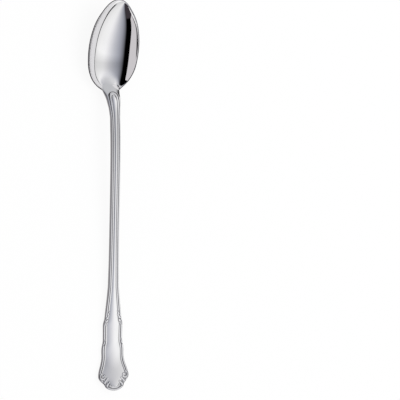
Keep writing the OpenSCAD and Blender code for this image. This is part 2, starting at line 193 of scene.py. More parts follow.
class SpoonSizes(bpy.types.PropertyGroup):
    """Lengths, widths and thicknesses of the spoon, the same as the part's own."""

    bowl_length: length("Bowl length", "From the heel to the tip", 45.6)
    bowl_width: length("Bowl width", "Over the rim", 29.2)
    bowl_depth: length("Bowl depth", "From the rim to the inside of the bottom", 6)
    bowl_wall: length("Bowl wall", "Wall at the bottom of the bowl", 1.1)
    rim_width: length("Rim width", "Flat of the rim seen from above", 0.5)
    edge_height: length("Rim height", "Upright edge of the rim", 0.5)
    tip_rise: length("Tip rise", "How much higher the rim is at the tip", 10.8)
    neck_length: length("Neck length", "From the stem to the heel", 14)
    heel_width: length("Heel width", "Neck's width at the bowl", 9.4)
    neck_width: length("Neck width", "Where the arch of the moulding ends", 7.9)
    neck_thickness: length("Neck thickness", "Where the neck bends down", 3.4)
    heel_thickness: length("Heel thickness", "Where the neck meets the bowl", 2.7)
    neck_rise: length("Neck rise", "Top of the neck over the rim at the heel", 5.4)
    stem_length: length("Stem length", "Between the neck and the handle end", 86.4)
    stem_width: length("Stem width", "Slimmest part of the stem", 4.8)
    stem_thickness: length("Stem thickness", "Top to back of the stem", 2.8)
    stem_side: length("Stem side", "Upright side of the stem", 1.2)
    stem_round: length("Stem round", "Rounded edges on the back of the stem", 1.2)
    flare_length: length("Flare length", "From the stem to the shoulders", 19.2)
    side_length: length("Side length", "Straight sides below the shoulders", 9.6)
    waist_length: length("Waist length", "Between the cusps and the lobes", 8)
    lobe_length: length("Lobe length", "From the waist to the corner scrolls", 9.7)
    end_length: length("End length", "Rounded end below the corner scrolls", 7.5)
    flare_width: length("Flare width", "Where the flare meets the stem", 5.5)
    shoulder_width: length("Shoulder width", "Over the shoulders", 10.8)
    waist_width: length("Waist width", "Over the waist", 12.5)
    lobe_width: length("Lobe width", "Over the corner scrolls", 17.3)
    end_thickness: length("End thickness", "Top to back of the handle end", 2.2)
    end_rise: length("End rise", "How much the end turns up", 1.7)
    end_side: length("End side", "Upright side of the handle end", 0.9)
    end_round: length("End round", "Rounded edges on the back of the end", 1.4)


class MouldingSizes(bpy.types.PropertyGroup):
    """Sizes of the bead, thread, panel and scrolls struck into the top."""

    stem_bead: length("Stem bead", "Width of the outer bead on the stem", 0.75)
    stem_thread: length("Stem thread", "Width of the inner thread on the stem", 0.95)
    end_bead: length("End bead", "Width of the outer bead on the handle end", 1)
    end_thread: length("End thread", "Width of the inner thread on the handle end", 1)
    bead_fall: length("Bead fall", "Fall of the bead to the edge", 0.1)
    groove_depth: length("Groove depth", "Groove between bead and thread", 0.15)
    panel_depth: length("Panel depth", "Panel below the thread", 0.15)
    stem_crown: length("Stem crown", "Rise of the stem's panel in its middle", 0.2)
    panel_crown: length("Panel crown", "Rise of the end's panel in its middle", 0.4)
    back_crown: length("Back crown", "Rise of the back's flat towards its edges", 0.15)
    scroll_height: length("Scroll height", "Height of the scrolls and leaves", 0.25)


class FinishSettings(bpy.types.PropertyGroup):
    """Colour and polish of the metal, and the colour of the painted shade in its recesses."""

    metal: tint("Metal colour", "Colour of the polished metal", (0.90, 0.895, 0.90))
    # Painted shade: the dark colour mixed into the metal in the grooves, round the scrolls and
    # along the bowl's rim, where shade falls
    painted_shade: tint("Recess colour", "Colour of the metal down in the grooves",
                 (0.08, 0.075, 0.085))
    polish: share("Polish roughness", "Roughness of the mirror polish", 0.035)
    scratch: share("Hairlines", "Strength of the fine hairlines", 0.05)


# The photograph's width in pixels, the fitted camera's pixels to a millimetre at the part,
# and the pixel at which it sees the part's origin
PHOTO_WIDTH = 400
PHOTO_SCALE = 1.95037
ORIGIN_PIXEL = (108.02, 196.59)


class StudioSettings(bpy.types.PropertyGroup):
    """Camera, floor and light."""

    azimuth: angle("Camera azimuth", "Turn of the camera about up", -98.21)
    elevation: angle("Camera elevation", "Height over the floor", 57.32)
    roll: angle("Camera roll", "Turn of the camera about its view", -0.83)
    distance: length("Camera distance", "From the aim to the camera", 900)
    picture_width: length("Picture width", "Width that the picture takes in at the aim",
                          PHOTO_WIDTH / PHOTO_SCALE)
    aim_right: length("Aim to the right", "Picture's middle, right of the part's origin",
                      (PHOTO_WIDTH / 2 - ORIGIN_PIXEL[0]) / PHOTO_SCALE, least=-1000)
    aim_up: length("Aim upwards", "Picture's middle, above the part's origin",
                   (ORIGIN_PIXEL[1] - PHOTO_WIDTH / 2) / PHOTO_SCALE, least=-1000)
    tent_radius: length("Light tent radius", "Size of the light tent", 3000)
    floor_lift: share("Floor whiteness", "Share of the floor that shows plain white", 0.9)
    lamp_power: FloatProperty(name="Lamp power", description="Power of the soft lamp",
                              default=6.0, min=0, unit="POWER")


def own_keys(group):
    """Names of the properties that a group has of its own."""
    return [key for key in group.bl_rna.properties.keys() if key not in ("rna_type", "name")]


# Shares: the bowl's deepest place and the rim's lift at the heel, of the bowl's length; the
# handle end's lowest place, of its length; how far the crest lies before the stem's end, of
# the neck's length; the neck's widening that is done at the stem's end; the neck's crown at
# the heel, of its rise
DEEP_SHARE = 0.26
RIM_LIFT_SHARE = 0.082
LOW_SHARE = 0.33
CREST_SHARE = 0.42
FOOT_SHARE = 0.1
HEEL_CROWN_SHARE = 0.15
# How far before the crest the knots of the neck's thickness start, in millimetres
THICK_LEAD = 4
# Radius of the back's edges at the heel, as a share of its width
HEEL_ROUND_SHARE = 0.45


class Plan:
    """All lengths in millimetres, and those that follow from them."""

    def __init__(self, scene):
        for group in (scene.spoon_sizes, scene.spoon_moulding):
            for key in own_keys(group):
                setattr(self, key, getattr(group, key) / MM)
        self.end_total = (self.flare_length + self.side_length + self.waist_length
                          + self.lobe_length + self.end_length)
        self.stem_end = self.end_total + self.stem_length
        self.heel = self.stem_end + self.neck_length
        self.total = self.heel + self.bowl_length
        self.shoulder_s = self.end_total - self.flare_length
        self.cusp_s = self.shoulder_s - self.side_length
        self.waist_s = self.cusp_s - self.waist_length
        self.corner_s = self.waist_s - self.lobe_length
        self.deep_s = self.heel + self.bowl_length * DEEP_SHARE
        self.rim_slope = self.tip_rise / self.bowl_length
        self.rim_heel = (self.bowl_depth + self.bowl_wall
                         - self.rim_slope * (self.deep_s - self.heel))
        self.low_s = self.end_total * LOW_SHARE
        self.crest_s = self.stem_end - self.neck_length * CREST_SHARE
        self.crest_z = self.rim_heel + self.neck_rise
        self.foot_width = self.stem_width + (self.neck_width - self.stem_width) * FOOT_SHARE
        self.make_tables()

    def make_tables(self):
        """Knots of the height of the top's edge, of the thickness that the neck adds and of
        the half width: a row of places and a row of values each."""
        self.edge_table = np.concatenate([
            stretch(TURN, 0, self.low_s, self.end_thickness, self.end_thickness + self.end_rise),
            stretch(RISE, self.low_s, self.crest_s, self.end_thickness, self.crest_z),
            stretch(DROP, self.crest_s, self.heel, self.rim_heel, self.crest_z)]).T
        self.thick_table = np.concatenate([
            [(self.crest_s - THICK_LEAD, 0)],
            stretch(NECK_THICK, self.crest_s, self.heel, 0,
                    self.neck_thickness - self.stem_thickness),
            [(self.heel, self.heel_thickness - self.stem_thickness)]]).T
        widths = np.concatenate([
            [(self.end_total, self.flare_width)],
            stretch(STEM_HALF, self.end_total, self.stem_end, self.stem_width,
                    self.flare_width),
            [(self.stem_end, self.foot_width)],
            stretch(NECK_HALF, self.stem_end, self.heel, self.foot_width, self.neck_width),
            stretch(HEEL_HALF, self.stem_end, self.heel, self.neck_width, self.heel_width),
            [(self.heel, self.heel_width)]])
        self.half_table = widths.T * [[1], [0.5]]

    def edge_z(self, s):
        """Height of the top's edge: a fair curve through the knots along the handle."""
        return fair(*self.edge_table, s)[..., 0]

    def neck_way(self, s):
        """How far the neck has bent down to the heel, from 0 to 1."""
        return ease((s - self.crest_s) / (self.heel - self.crest_s))

    def end_way(self, s):
        """How far the flare has widened to the handle end, from 0 to 1."""
        return ease((self.end_total - s) / self.flare_length)

    def thick(self, s):
        """Thickness: the end's, eased to the stem's along the flare, and the neck's knots."""
        grown = self.end_thickness + (self.stem_thickness - self.end_thickness) * ease(
            (s - self.shoulder_s) / self.flare_length)
        neck = fair(*self.thick_table, np.maximum(s, self.crest_s - THICK_LEAD))[..., 0]
        return grown + np.where(s > self.crest_s, neck, 0)

    def side_at(self, s):
        """Upright side: the stem's, eased to the end's and to the rim's own height."""
        return (self.stem_side + (self.end_side - self.stem_side) * self.end_way(s)
                + (self.edge_height - self.stem_side) * self.neck_way(s))

    def round_at(self, s):
        """Radius of the back's edges: the stem's, eased to the end's and to the heel's."""
        heel_round = self.heel_width * HEEL_ROUND_SHARE
        return (self.stem_round + (self.end_round - self.stem_round) * self.end_way(s)
                + (heel_round - self.stem_round) * self.neck_way(s))

    def crown_at(self, s):
        """Crown of the centre panel: the stem's, eased to the end's along the flare."""
        return self.stem_crown + (self.panel_crown - self.stem_crown) * self.end_way(s)

    def rim_top(self, s):
        """Height of the rim: a straight slope, which lifts by a cubic to meet the neck."""
        past = s - self.heel
        lift = np.clip(1 - past / (self.bowl_length * RIM_LIFT_SHARE), 0, None) ** 3
        return self.rim_heel + self.rim_slope * past + self.neck_rise * DROP[-1][1] * lift

    def half_at(self, s):
        """Half width from the handle end's start to the heel: a smooth curve whose slope at
        each knot is that between its two neighbours."""
        x, y = self.half_table
        n = np.arange(len(x))
        a, b = np.maximum(n - 1, 0), np.minimum(n + 1, len(x) - 1)
        slope = (y[b] - y[a]) / (x[b] - x[a])
        j = np.clip(np.searchsorted(x, s, side="right") - 1, 0, len(x) - 2)
        h = x[j + 1] - x[j]
        u = np.clip((s - x[j]) / h, 0, 1)
        v = 1 - u
        return (y[j] * v * v * (1 + 2 * u) + y[j + 1] * u * u * (3 - 2 * u)
                + h * (slope[j] * v * v * u - slope[j + 1] * u * u * v))

    def top_z(self, x, s):
        """Height of the top before the moulding: the edge's, with a crown near the heel."""
        u = np.where(s < self.crest_s, 0, x / self.half_at(np.maximum(s, self.end_total)))
        crown = self.neck_rise * HEEL_CROWN_SHARE * self.neck_way(s) ** 2
        return self.edge_z(s) + crown * (1 - u * u)


# Scrolls and leaves. Each is measured in millimetres from a place on the outline, given
# first. Its last four values are its half width, the shares of that at its start and at its
# end, and its share of the height. Leaves have their points across and along.
LEAVES = [
    ("shoulder", [(-3.1, 6.4), (-2.6, 5.6), (-2.3, 4.8)], 0.5, 0.6, 1.1, 0.8),
    ("shoulder", [(-3.0, 4.6), (-2.4, 3.9), (-1.9, 3.0)], 0.52, 0.6, 1.15, 0.9),
    ("cusp", [(-0.9, 1.6), (-0.55, 0.3), (0.05, -1.2)], 0.42, 0.5, 1.0, 0.5),
    ("corner", [(-4.5, -1.1), (-3.7, -2.2), (-3.0, -3.0)], 0.68, 0.7, 1.1, 1.0),
    ("corner", [(-5.6, -2.9), (-4.8, -3.8), (-4.2, -4.6)], 0.68, 0.7, 1.1, 1.0),
]
# Scrolls and their eyes have their middle, the radii and the angles at their start and at
# their end, and the number of their points.
SCROLLS = [
    ("shoulder", (-1.65, 1.75), (1.15, 0.45), (130, -190), 14, 0.42, 0.7, 1.0, 1.0),
    ("shoulder", (-1.65, 1.75), (0.05, 0.02), (0, 90), 3, 0.42, 1.0, 1.0, 0.9),
    ("shoulder", (-1.45, -0.15), (0.75, 0.5), (60, -110), 8, 0.4, 1.0, 0.6, 0.7),
    ("corner", (-2.2, 0.05), (1.8, 0.9), (75, -215), 20, 0.55, 0.8, 1.0, 1.0),
    ("corner", (-2.2, 0.15), (0.05, 0.02), (0, 90), 3, 0.6, 1.0, 1.0, 1.0),
    ("corner", (-6.3, -4.9), (0.6, 0.35), (60, -160), 8, 0.4, 1.0, 0.8, 0.7),
]
# How steep a stroke's flanks are, how high it stands of the scrolls' height, how much wider
# than it the moulding is cut away, and how fast that cut starts
STROKE_STEEP = 1.5
STROKE_RISE = 0.5
CUT_WIDTH = 1.5
CUT_RATE = 2.2


def curl(middle, radii, angles, count):
    """Points of a spiral round a middle, whose radius and angle run evenly between their two
    values. Angles are in degrees from across the spoon."""
    r, a = np.linspace(*radii, count), np.radians(np.linspace(*angles, count))
    return middle + np.stack([r * np.cos(a), r * np.sin(a)], -1)


def strokes(plan):
    """Paths of the leaves and scrolls of the right half, each with its four values."""
    places = {"shoulder": (plan.shoulder_width / 2, plan.shoulder_s),
              "cusp": (plan.shoulder_width / 2, plan.cusp_s),
              "corner": (plan.lobe_width / 2, plan.corner_s)}
    for place, points, *form in LEAVES:
        yield np.add(points, places[place]), *form
    for place, middle, radii, angles, count, *form in SCROLLS:
        yield curl(np.add(middle, places[place]), radii, angles, count), *form


def stroke_height(x, s, path, width, start, finish):
    """Height of a stroke with a flat back along a path: an ease of 1.5 (1 - d / w), where d
    is the distance to the path and w the half width, which tapers from start to finish."""
    p = np.stack([x, s], -1)[..., None, :]
    a, b = path[:-1], path[1:]
    along = b - a
    t = np.clip(((p - a) * along).sum(-1) / (along**2).sum(-1), 0, 1)
    d = np.linalg.norm(p - a - t[..., None] * along, axis=-1)
    place = (np.arange(len(a)) + t) / len(a)
    w = width * (start + (finish - start) * place)
    return ease(STROKE_STEEP * (1 - d / w)).max(-1)


def ornaments(plan, x, s):
    """Scrolls and leaves of the handle end at places of the plane: how far the moulding is
    cut away round them, and the height that they add."""
    x = np.abs(x)
    cut, lift = np.zeros_like(x), np.zeros_like(x)
    for path, width, start, finish, high in strokes(plan):
        lift = np.maximum(lift, high * stroke_height(x, s, path, width, start, finish))
        near = stroke_height(x, s, path, width * CUT_WIDTH, start, finish)
        cut = np.maximum(cut, ease(CUT_RATE * near))
    return cut, lift * plan.scroll_height * STROKE_RISE


# Columns of the handle's top on the panel, the thread and the bead. They lie closer together
# towards the panel's edge, by a power, and in the outer share of the bead, by a factor
PANEL_COLUMNS, THREAD_COLUMNS, BEAD_COLUMNS = 18, 14, 18
PANEL_SPREAD, BEAD_OUTER, BEAD_CLOSER = 1.6, 0.15, 0.8
# Their places: on the panel from its middle, on the thread from the groove and on the bead
# from the outline
PANEL_WAY = 1 - (1 - np.linspace(0, 1, PANEL_COLUMNS)) ** PANEL_SPREAD
THREAD_WAY = np.linspace(1, 0, THREAD_COLUMNS + 2)[1:-1]
BEAD_WAY = np.linspace(1, 0, BEAD_COLUMNS)
BEAD_WAY[BEAD_WAY < BEAD_OUTER] *= BEAD_CLOSER
THREAD_END = PANEL_COLUMNS + THREAD_COLUMNS
# Columns of the back: places down the upright side, and numbers on the rounding and the flat
SIDE_WAY = np.array([0.07, 0.25, 0.6, 1])
ARC_COLUMNS, FLAT_COLUMNS = 9, 8
# Shares of the thread's and of the bead's width that a slope takes up, and of the bead's
# where scrolls are carved; depth of the ground round the scrolls, as a share of the panel's
THREAD_SLOPE, BEAD_SLOPE, CARVED_SLOPE = 0.24, 0.26, 0.3
GROUND_SHARE = 0.6
# Painted shade in the recesses, where the polish is darkened as if shade fell there: how fast
# it grows with the groove's depth; how dark the panel's edge is painted, and over how many
# millimetres; how much of it the thread loses towards the panel, and from where and over what
# share of its width; how fast it goes as a scroll rises, so that the scrolls' tops stay bright
GROOVE_DARK = 1.9
PANEL_DARK, PANEL_DARK_WIDTH = 0.2, 0.28
THREAD_PALE, THREAD_PALE_FROM, THREAD_PALE_OVER = 0.75, 0.5, 0.2
SCROLL_SHINE = 4.6


def top_columns(o, g, k):
    """Places of the top on a grid: rows are stations with their points on the outline o, the
    groove g and the panel's edge k, and columns run from the middle to the outline."""
    panel = np.stack([k[:, :1] * PANEL_WAY, np.repeat(k[:, 1:], PANEL_COLUMNS, 1)], -1)
    thread = g[:, None] + (k - g)[:, None] * THREAD_WAY[:, None]
    bead = o[:, None] + (g - o)[:, None] * BEAD_WAY[:, None]
    return np.concatenate([panel, thread, bead], 1)


def moulding(plan, k, fall):
    """Depth of the moulding below the top, in the same columns. The panel is a low crown,
    the thread rises from the groove and falls to the panel, and the bead rises from the
    groove and rounds down to the edge by the given fall."""
    u, w, v = PANEL_WAY, THREAD_WAY, BEAD_WAY
    panel = plan.panel_depth - plan.crown_at(k[:, 1:]) * (1 - u * u)
    thread = (plan.groove_depth * (1 - ease(w / THREAD_SLOPE))
              + plan.panel_depth * ease((w - 1 + THREAD_SLOPE) / THREAD_SLOPE))
    bead = (fall * np.clip(1 - v / BEAD_SLOPE, 0, 1) ** 2
            + plan.groove_depth * ease((v - 1 + BEAD_SLOPE) / BEAD_SLOPE))
    return np.concatenate([panel, np.repeat(thread[None], len(k), 0), bead], 1)


def moulding_painted_shade(plan, k, down):
    """Painted shade in the moulding's recesses: how far the polish is darkened there, from 0 to
    1.
    """
    dark = np.clip(GROOVE_DARK * down / plan.groove_depth, 0, 1)
    to_edge = k[:, :1] * (1 - PANEL_WAY)
    # painted shade along the panel's edge
    dark[:, :PANEL_COLUMNS] = PANEL_DARK * ease(1 - to_edge / PANEL_DARK_WIDTH)
    dark[:, PANEL_COLUMNS:THREAD_END] *= 1 - THREAD_PALE * ease(
        (THREAD_WAY - THREAD_PALE_FROM) / THREAD_PALE_OVER)
    return dark


def top_sheet(plan, o, g, k, way, scrolls=False):
    """Top of the handle on a grid, and its painted shade. The bead falls to the edge by the share
    that way gives. Scrolls cut the thread and the bead down to a flat ground and rise from
    it, less towards the rounded edge; the ground round them gets painted shade, which their
    raised tops lose."""
    x, s = np.moveaxis(top_columns(o, g, k), -1, 0)
    fall = plan.bead_fall * way[:, None]
    z, down = plan.top_z(x, s), moulding(plan, k, fall)
    if not scrolls:
        return np.stack([x, s, z - down], -1), moulding_painted_shade(plan, k, down)
    cut, lift = ornaments(plan, x, s)
    edge = np.zeros_like(x)
    edge[:, THREAD_END:] = fall * np.clip(1 - BEAD_WAY / CARVED_SLOPE, 0, 1) ** 2
    carved = np.maximum(down * (1 - cut) + GROUND_SHARE * plan.panel_depth * cut, edge)
    down[:, PANEL_COLUMNS:] = carved[:, PANEL_COLUMNS:]
    # painted shade: the cut-away ground round the scrolls is darkened like the recesses, and the
    # scrolls' raised tops lose it and stay bright
    dark = np.maximum(moulding_painted_shade(plan, k, down), cut)
    dark *= 1 - ease(SCROLL_SHINE * lift / plan.scroll_height)
    z = z + lift * (1 - edge / plan.bead_fall)
    return np.stack([x, s, z - down], -1), dark


def back_sheet(plan, o, k, m, way):
    """Edge and back of the handle on a grid: down the upright side, round a quarter of an
    ellipse, then over the flat to the middle, along the way from o past k to m. The flat is
    lifted a little towards the edges by the square of what is left of the way."""
    a = np.linalg.norm(k - o, axis=1)[:, None]
    b = np.linalg.norm(m - k, axis=1)[:, None]
    reach = a + b
    q = np.minimum(plan.round_at(o[:, 1:]), reach)
    c = np.radians(np.linspace(0, 90, ARC_COLUMNS + 1))[1:]
    f = np.linspace(0, 1, FLAT_COLUMNS + 1)[1:]
    d = np.concatenate([q * (1 - np.cos(c)), q + (reach - q) * f], 1)
    first = o[:, None] + (k - o)[:, None] * np.clip(d / np.maximum(a, TINY), 0, 1)[..., None]
    then = k[:, None] + (m - k)[:, None] * np.clip((d - a) / np.maximum(b, TINY), 0, 1)[..., None]
    p = np.where((d < a)[..., None], first, then)
    fall = plan.bead_fall * way[:, None]
    s = p[..., 1]
    upper = plan.edge_z(s) - fall - plan.side_at(s)
    lower = plan.edge_z(s) - plan.thick(s) + plan.back_crown * (1 - d / reach) ** 2
    z = upper + (lower - upper) * np.r_[np.sin(c), np.ones(len(f))]
    side = np.repeat(o[:, None], len(SIDE_WAY), 1)
    side_z = plan.edge_z(o[:, 1:]) - fall - plan.side_at(o[:, 1:]) * SIDE_WAY
    return np.concatenate([np.dstack([side, side_z]), np.dstack([p, z])], 1)


def straight_back(plan, o, way):
    """Edge and back of sections that run straight across from the outline o."""
    return back_sheet(plan, o, o * [0.5, 1], o * [0, 1], way)


# Meshes

# Points closer than this, in metres, become one, and edges shorter than the second go
MERGE_DISTANCE, SHORTEST_EDGE = 2e-7, 1e-8
# Edges that are bent more than this, in degrees, stay sharp
SHARP_ANGLE = 55


def grid_faces(rows, columns, first=0, closed=False):
    """Corner numbers of the quads of a grid whose points are numbered row by row."""
    c = np.arange(columns if closed else columns - 1)
    r = np.arange(rows - 1)[:, None]
    a, b = r * columns + c, r * columns + (c + 1) % columns
    return (np.stack([a, b, b + columns, a + columns], -1) + first).reshape(-1, 4)


def make_piece(name, points, faces, caps, painted_shade, total):
    """Mesh object from points in millimetres, quads and flat caps: doubles are merged, faces
    are turned outwards and shaded smooth, and the flat joints' borders stay sharp."""
    points = (points.reshape(-1, 3) - [0, total / 2, 0]) * MM
    mesh = bpy.data.meshes.new(name)
    mesh.from_pydata(points.tolist(), [], faces.tolist() + [cap.tolist() for cap in caps])
    layer = mesh.attributes.new("painted_shade", "FLOAT", "POINT")
    layer.data.foreach_set("value", painted_shade.ravel().astype(np.float32))
    bm = bmesh.new()
    bm.from_mesh(mesh)
    bmesh.ops.remove_doubles(bm, verts=bm.verts, dist=MERGE_DISTANCE)
    bmesh.ops.dissolve_degenerate(bm, edges=bm.edges, dist=SHORTEST_EDGE)
    bmesh.ops.recalc_face_normals(bm, faces=bm.faces)
    bm.to_mesh(mesh)
    bm.free()
    mesh.shade_smooth()
    mesh.set_sharp_from_angle(angle=math.radians(SHARP_ANGLE))
    piece = bpy.data.objects.new(name, mesh)
    bpy.context.scene.collection.objects.link(piece)
    return piece


def make_rings(name, top, back, painted_shade, ends, total):
    """Piece of closed loops, from the top's and the back's right halves and their mirrors,
    with a flat cap in each loop of ends."""
    half = np.concatenate([top, back], 1)
    painted_shade = np.concatenate([painted_shade, np.zeros(back.shape[:2])], 1)
    loops = np.concatenate([half, flip(half[:, -2:0:-1])], 1)
    painted_shade = np.concatenate([painted_shade, painted_shade[:, -2:0:-1]], 1)
    rows, columns = loops.shape[:2]
    caps = [row * columns + np.arange(columns) for row in ends]
    return make_piece(name, loops, grid_faces(rows, columns, closed=True), caps, painted_shade, total)


def dress(piece, node, material):
    """Gives the piece its metal, lets it ride on the one body and stand for its CAD node."""
    piece.data.materials.clear()
    piece.data.materials.append(material)
    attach(piece, "root")
    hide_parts(node)


# Materials


class NodeMaker:
    """Adds nodes to an emptied tree. A value is a plain one or another node's output."""

    def __init__(self, tree):
        self.nodes, self.links = tree.nodes, tree.links
        self.nodes.clear()

    def put(self, socket, value):
        """Sets a socket, or links it."""
        if isinstance(value, bpy.types.NodeSocket):
            self.links.new(value, socket)
        else:
            socket.default_value = value

    def add(self, kind, inputs=None, **settings):
        """One node of a kind with its settings, then the values of its inputs."""
        node = self.nodes.new("ShaderNode" + kind)
        for name, value in settings.items():
            setattr(node, name, value)
        for name, value in (inputs or {}).items():
            self.put(node.inputs[name], value)
        return node

    def finish(self, node, kind="OutputMaterial"):
        """The tree's output, which takes what the node gives."""
        self.add(kind, {"Surface": node.outputs[0]})

    def sum(self, operation, *values):
        """One Math node with its values."""
        return self.add("Math", dict(enumerate(values)), operation=operation).outputs[0]

    def step(self, value, low, high, start=0.0, end=1.0, kind="SMOOTHSTEP"):
        """Runs from start to end while the value runs from low to high."""
        inputs = {"Value": value, "From Min": low, "From Max": high, "To Min": start,
                  "To Max": end}
        return self.add("MapRange", inputs, interpolation_type=kind).outputs["Result"]

    def ramp(self, value, stops):
        """Colours or greys at stops, straight from one to the next."""
        low, high = stops[0][0], stops[-1][0]
        node = self.add("ValToRGB", {0: self.step(value, low, high, kind="LINEAR")})
        bars = node.color_ramp.elements
        for i, (place, colour) in enumerate(stops):
            bar = bars[i] if i < 2 else bars.new(1.0)
            bar.position = (place - low) / (high - low)
            bar.color = (*np.broadcast_to(colour, 3), 1)
        return node.outputs["Color"]

    def mix(self, share, a, b, blend="MIX"):
        """Colour between a and b, or their product."""
        inputs = {"Factor": share, "A": a, "B": b}
        return self.add("Mix", inputs, data_type="RGBA", blend_type=blend).outputs["Result"]


def new_material(name):
    """Material with an empty tree, and the maker of its nodes."""
    material = bpy.data.materials.new(name)
    material.use_nodes = True
    return material, NodeMaker(material.node_tree)


# Polish: size and detail of its soft clouds, the part of them between which the roughness
# runs, the shares of it there, and how much they darken the metal at random
CLOUD_SCALE, CLOUD_DETAIL, CLOUD_DARK = 220, 3, 0.02
CLOUD_RANGE = (0.3, 0.7)
ROUGH_SHARES = (0.6, 1.4)
# Hairlines: their fineness across, along and up, their slant and their depth in metres
HAIR_SCALE, HAIR_SLANT, HAIR_DETAIL, HAIR_DEPTH = (6000, 500, 3000), 8, 2, 0.000002


def polished_metal(scene):
    """Mirror-polished metal: a plain metal colour with painted shade in the recesses and along
    the bowl's rim, a polish whose roughness wavers in soft clouds, and very fine hairlines in
    the bump."""
    done = bpy.data.materials.get("polished_silver")
    if done:
        return done
    finish = scene.spoon_finish
    material, m = new_material("polished_silver")
    place = m.add("TexCoord").outputs["Object"]
    clouds = m.add("TexNoise", {"Vector": place, "Scale": CLOUD_SCALE,
                                "Detail": CLOUD_DETAIL}).outputs["Fac"]
    # painted shade: a mesh attribute mixes the metal towards the dark colour in the recesses and
    # along the rim, with a little random tone from the clouds
    painted_shade = m.add("Attribute", attribute_name="painted_shade").outputs["Fac"]
    colour = m.mix(m.sum("MULTIPLY_ADD", clouds, CLOUD_DARK, painted_shade),
                   (*finish.metal, 1), (*finish.painted_shade, 1))
    rough = m.step(clouds, *CLOUD_RANGE, *(finish.polish * each for each in ROUGH_SHARES),
                   kind="LINEAR")
    slant = m.add("Mapping", {"Vector": place, "Scale": HAIR_SCALE,
                              "Rotation": (0, 0, math.radians(HAIR_SLANT))})
    hairs = m.add("TexNoise", {"Vector": slant.outputs["Vector"], "Scale": 1,
                               "Detail": HAIR_DETAIL})
    bump = m.add("Bump", {"Height": hairs.outputs["Fac"], "Strength": finish.scratch,
                          "Distance": HAIR_DEPTH})
    m.finish(m.add("BsdfPrincipled", {"Metallic": 1.0, "Base Color": colour,
                                      "Roughness": rough, "Normal": bump.outputs["Normal"]}))
    return material


# Bowl

# The mouth's middle from the tip and its half length, as shares of the bowl's length
MOUTH_MIDDLE, MOUTH_HALF = 0.46, 0.47
# Cosines that shape the mouth, and powers that the film is made of
MOUTH_WAVES, FILM_TERMS = 6, 13
# Share of the depth that follows the rim's height
RIM_FOLLOW = 0.1
# Lowest share of the film that is used, a little outside of the mouth
FILM_LEAST = -0.04
# Points at which the film is fitted and measured, and how far from heel and tip, in mm
FILM_POINTS, SPINE_POINTS, SPINE_MARGIN = 200, 600, 4


class Hollow:
    """A bowl's inside or outside as one smooth sheet under its mouth. The mouth is an egg: an
    ellipse whose radius varies by a few cosines of its angle, fitted to a line by least
    squares. f is a film blown up evenly over the mouth, which is harmonic polynomials less a
    quarter of the squared distance to the middle, so that it is 0 along the egg, over its
    highest value. The sheet's height is the rim's less w times a depth, where
    w = 1 - (1 - sqrt(1 - k k (1 - f))) / (1 - sqrt(1 - k k)) follows the arc of a circle."""

    def __init__(self, plan, line, margin, lower, bottom, arc):
        self.plan, self.lower, self.bottom, self.arc = plan, lower, bottom, arc
        self.middle = plan.total - plan.bowl_length * MOUTH_MIDDLE
        self.half = np.array([plan.bowl_width / 2, plan.bowl_length * MOUTH_HALF]) - margin
        angles, radius = self.polar(line)
        self.waves = np.linalg.lstsq(self.cosines(angles), radius, rcond=None)[0]
        edge = self.mouth(np.linspace(0, np.pi, FILM_POINTS))
        self.film = np.linalg.lstsq(self.harmonics(edge), self.square(edge), rcond=None)[0]
        self.top = 1.0
        s = np.linspace(plan.heel + SPINE_MARGIN, plan.total - SPINE_MARGIN, SPINE_POINTS)
        spine = np.stack([np.zeros_like(s), s], -1)
        self.top = self.share(spine).max()
        w = self.way(self.share(spine))
        rise = plan.rim_top(s) - lower - bottom
        self.depth = (rise * (1 - RIM_FOLLOW * w) / ((1 - RIM_FOLLOW) * w)).min()

    def polar(self, p):
        """Angle and radius of points of the plane, both counted on the ellipse."""
        q = (p - [0, self.middle]) / self.half
        return np.arctan2(q[:, 0], q[:, 1]), np.linalg.norm(q, axis=1)

    def cosines(self, angles):
        """Cosines of the multiples of angles."""
        return np.cos(angles[:, None] * np.arange(MOUTH_WAVES))

    def mouth(self, angles):
        """Points of the egg at angles counted from the tip."""
        radius = self.cosines(angles) @ self.waves
        way = np.stack([np.sin(angles), np.cos(angles)], -1)
        return way * radius[:, None] * self.half + [0, self.middle]

    def square(self, p):
        """A quarter of the squared distance to the middle."""
        return (p[..., 0] ** 2 + (p[..., 1] - self.middle) ** 2) / 4

    def harmonics(self, p):
        """Real parts of the powers of s + i x, counted in half lengths of the mouth."""
        w = (p[..., 1] - self.middle + 1j * p[..., 0]) / self.half[1]
        return (w[..., None] ** np.arange(FILM_TERMS)).real

    def share(self, p):
        """The film's share f at points of the plane: 1 at its top and 0 at the mouth."""
        return (self.harmonics(p) @ self.film - self.square(p)) / self.top

    def way(self, f):
        """Share w of the depth, from the film's share f."""
        k = self.arc
        return 1 - (1 - np.sqrt(1 - k * k * (1 - np.clip(f, FILM_LEAST, 1)))) / (
            1 - math.sqrt(1 - k * k))

    def height(self, p):
        """Height of the sheet at points of the plane."""
        rim = self.plan.rim_top(p[..., 1]) - self.lower
        depth = (1 - RIM_FOLLOW) * self.depth + RIM_FOLLOW * (rim - self.bottom)
        return rim - self.way(self.share(p)) * depth


# Rays of the bowl along the rim and along the heel, and the rows on them: inside, flat of
# the rim, rounding, outside. Rows are spread by a power of their number's share.
RIM_RAYS, HEEL_RAYS = 190, 36
INSIDE_ROWS, RIM_ROWS, CURL_ROWS, OUTSIDE_ROWS = 63, 20, 6, 60
INSIDE_SPREAD, OUTSIDE_SPREAD = 0.9, 0.95
# Where the rays start, as a share of the bowl's length from the heel
FAN_SHARE = 0.4
# The share of the rim that a mouth is fitted to, its points, and the step for its direction
FIT_SHARE, FIT_POINTS, FIT_STEP = 0.95, 220, 0.05
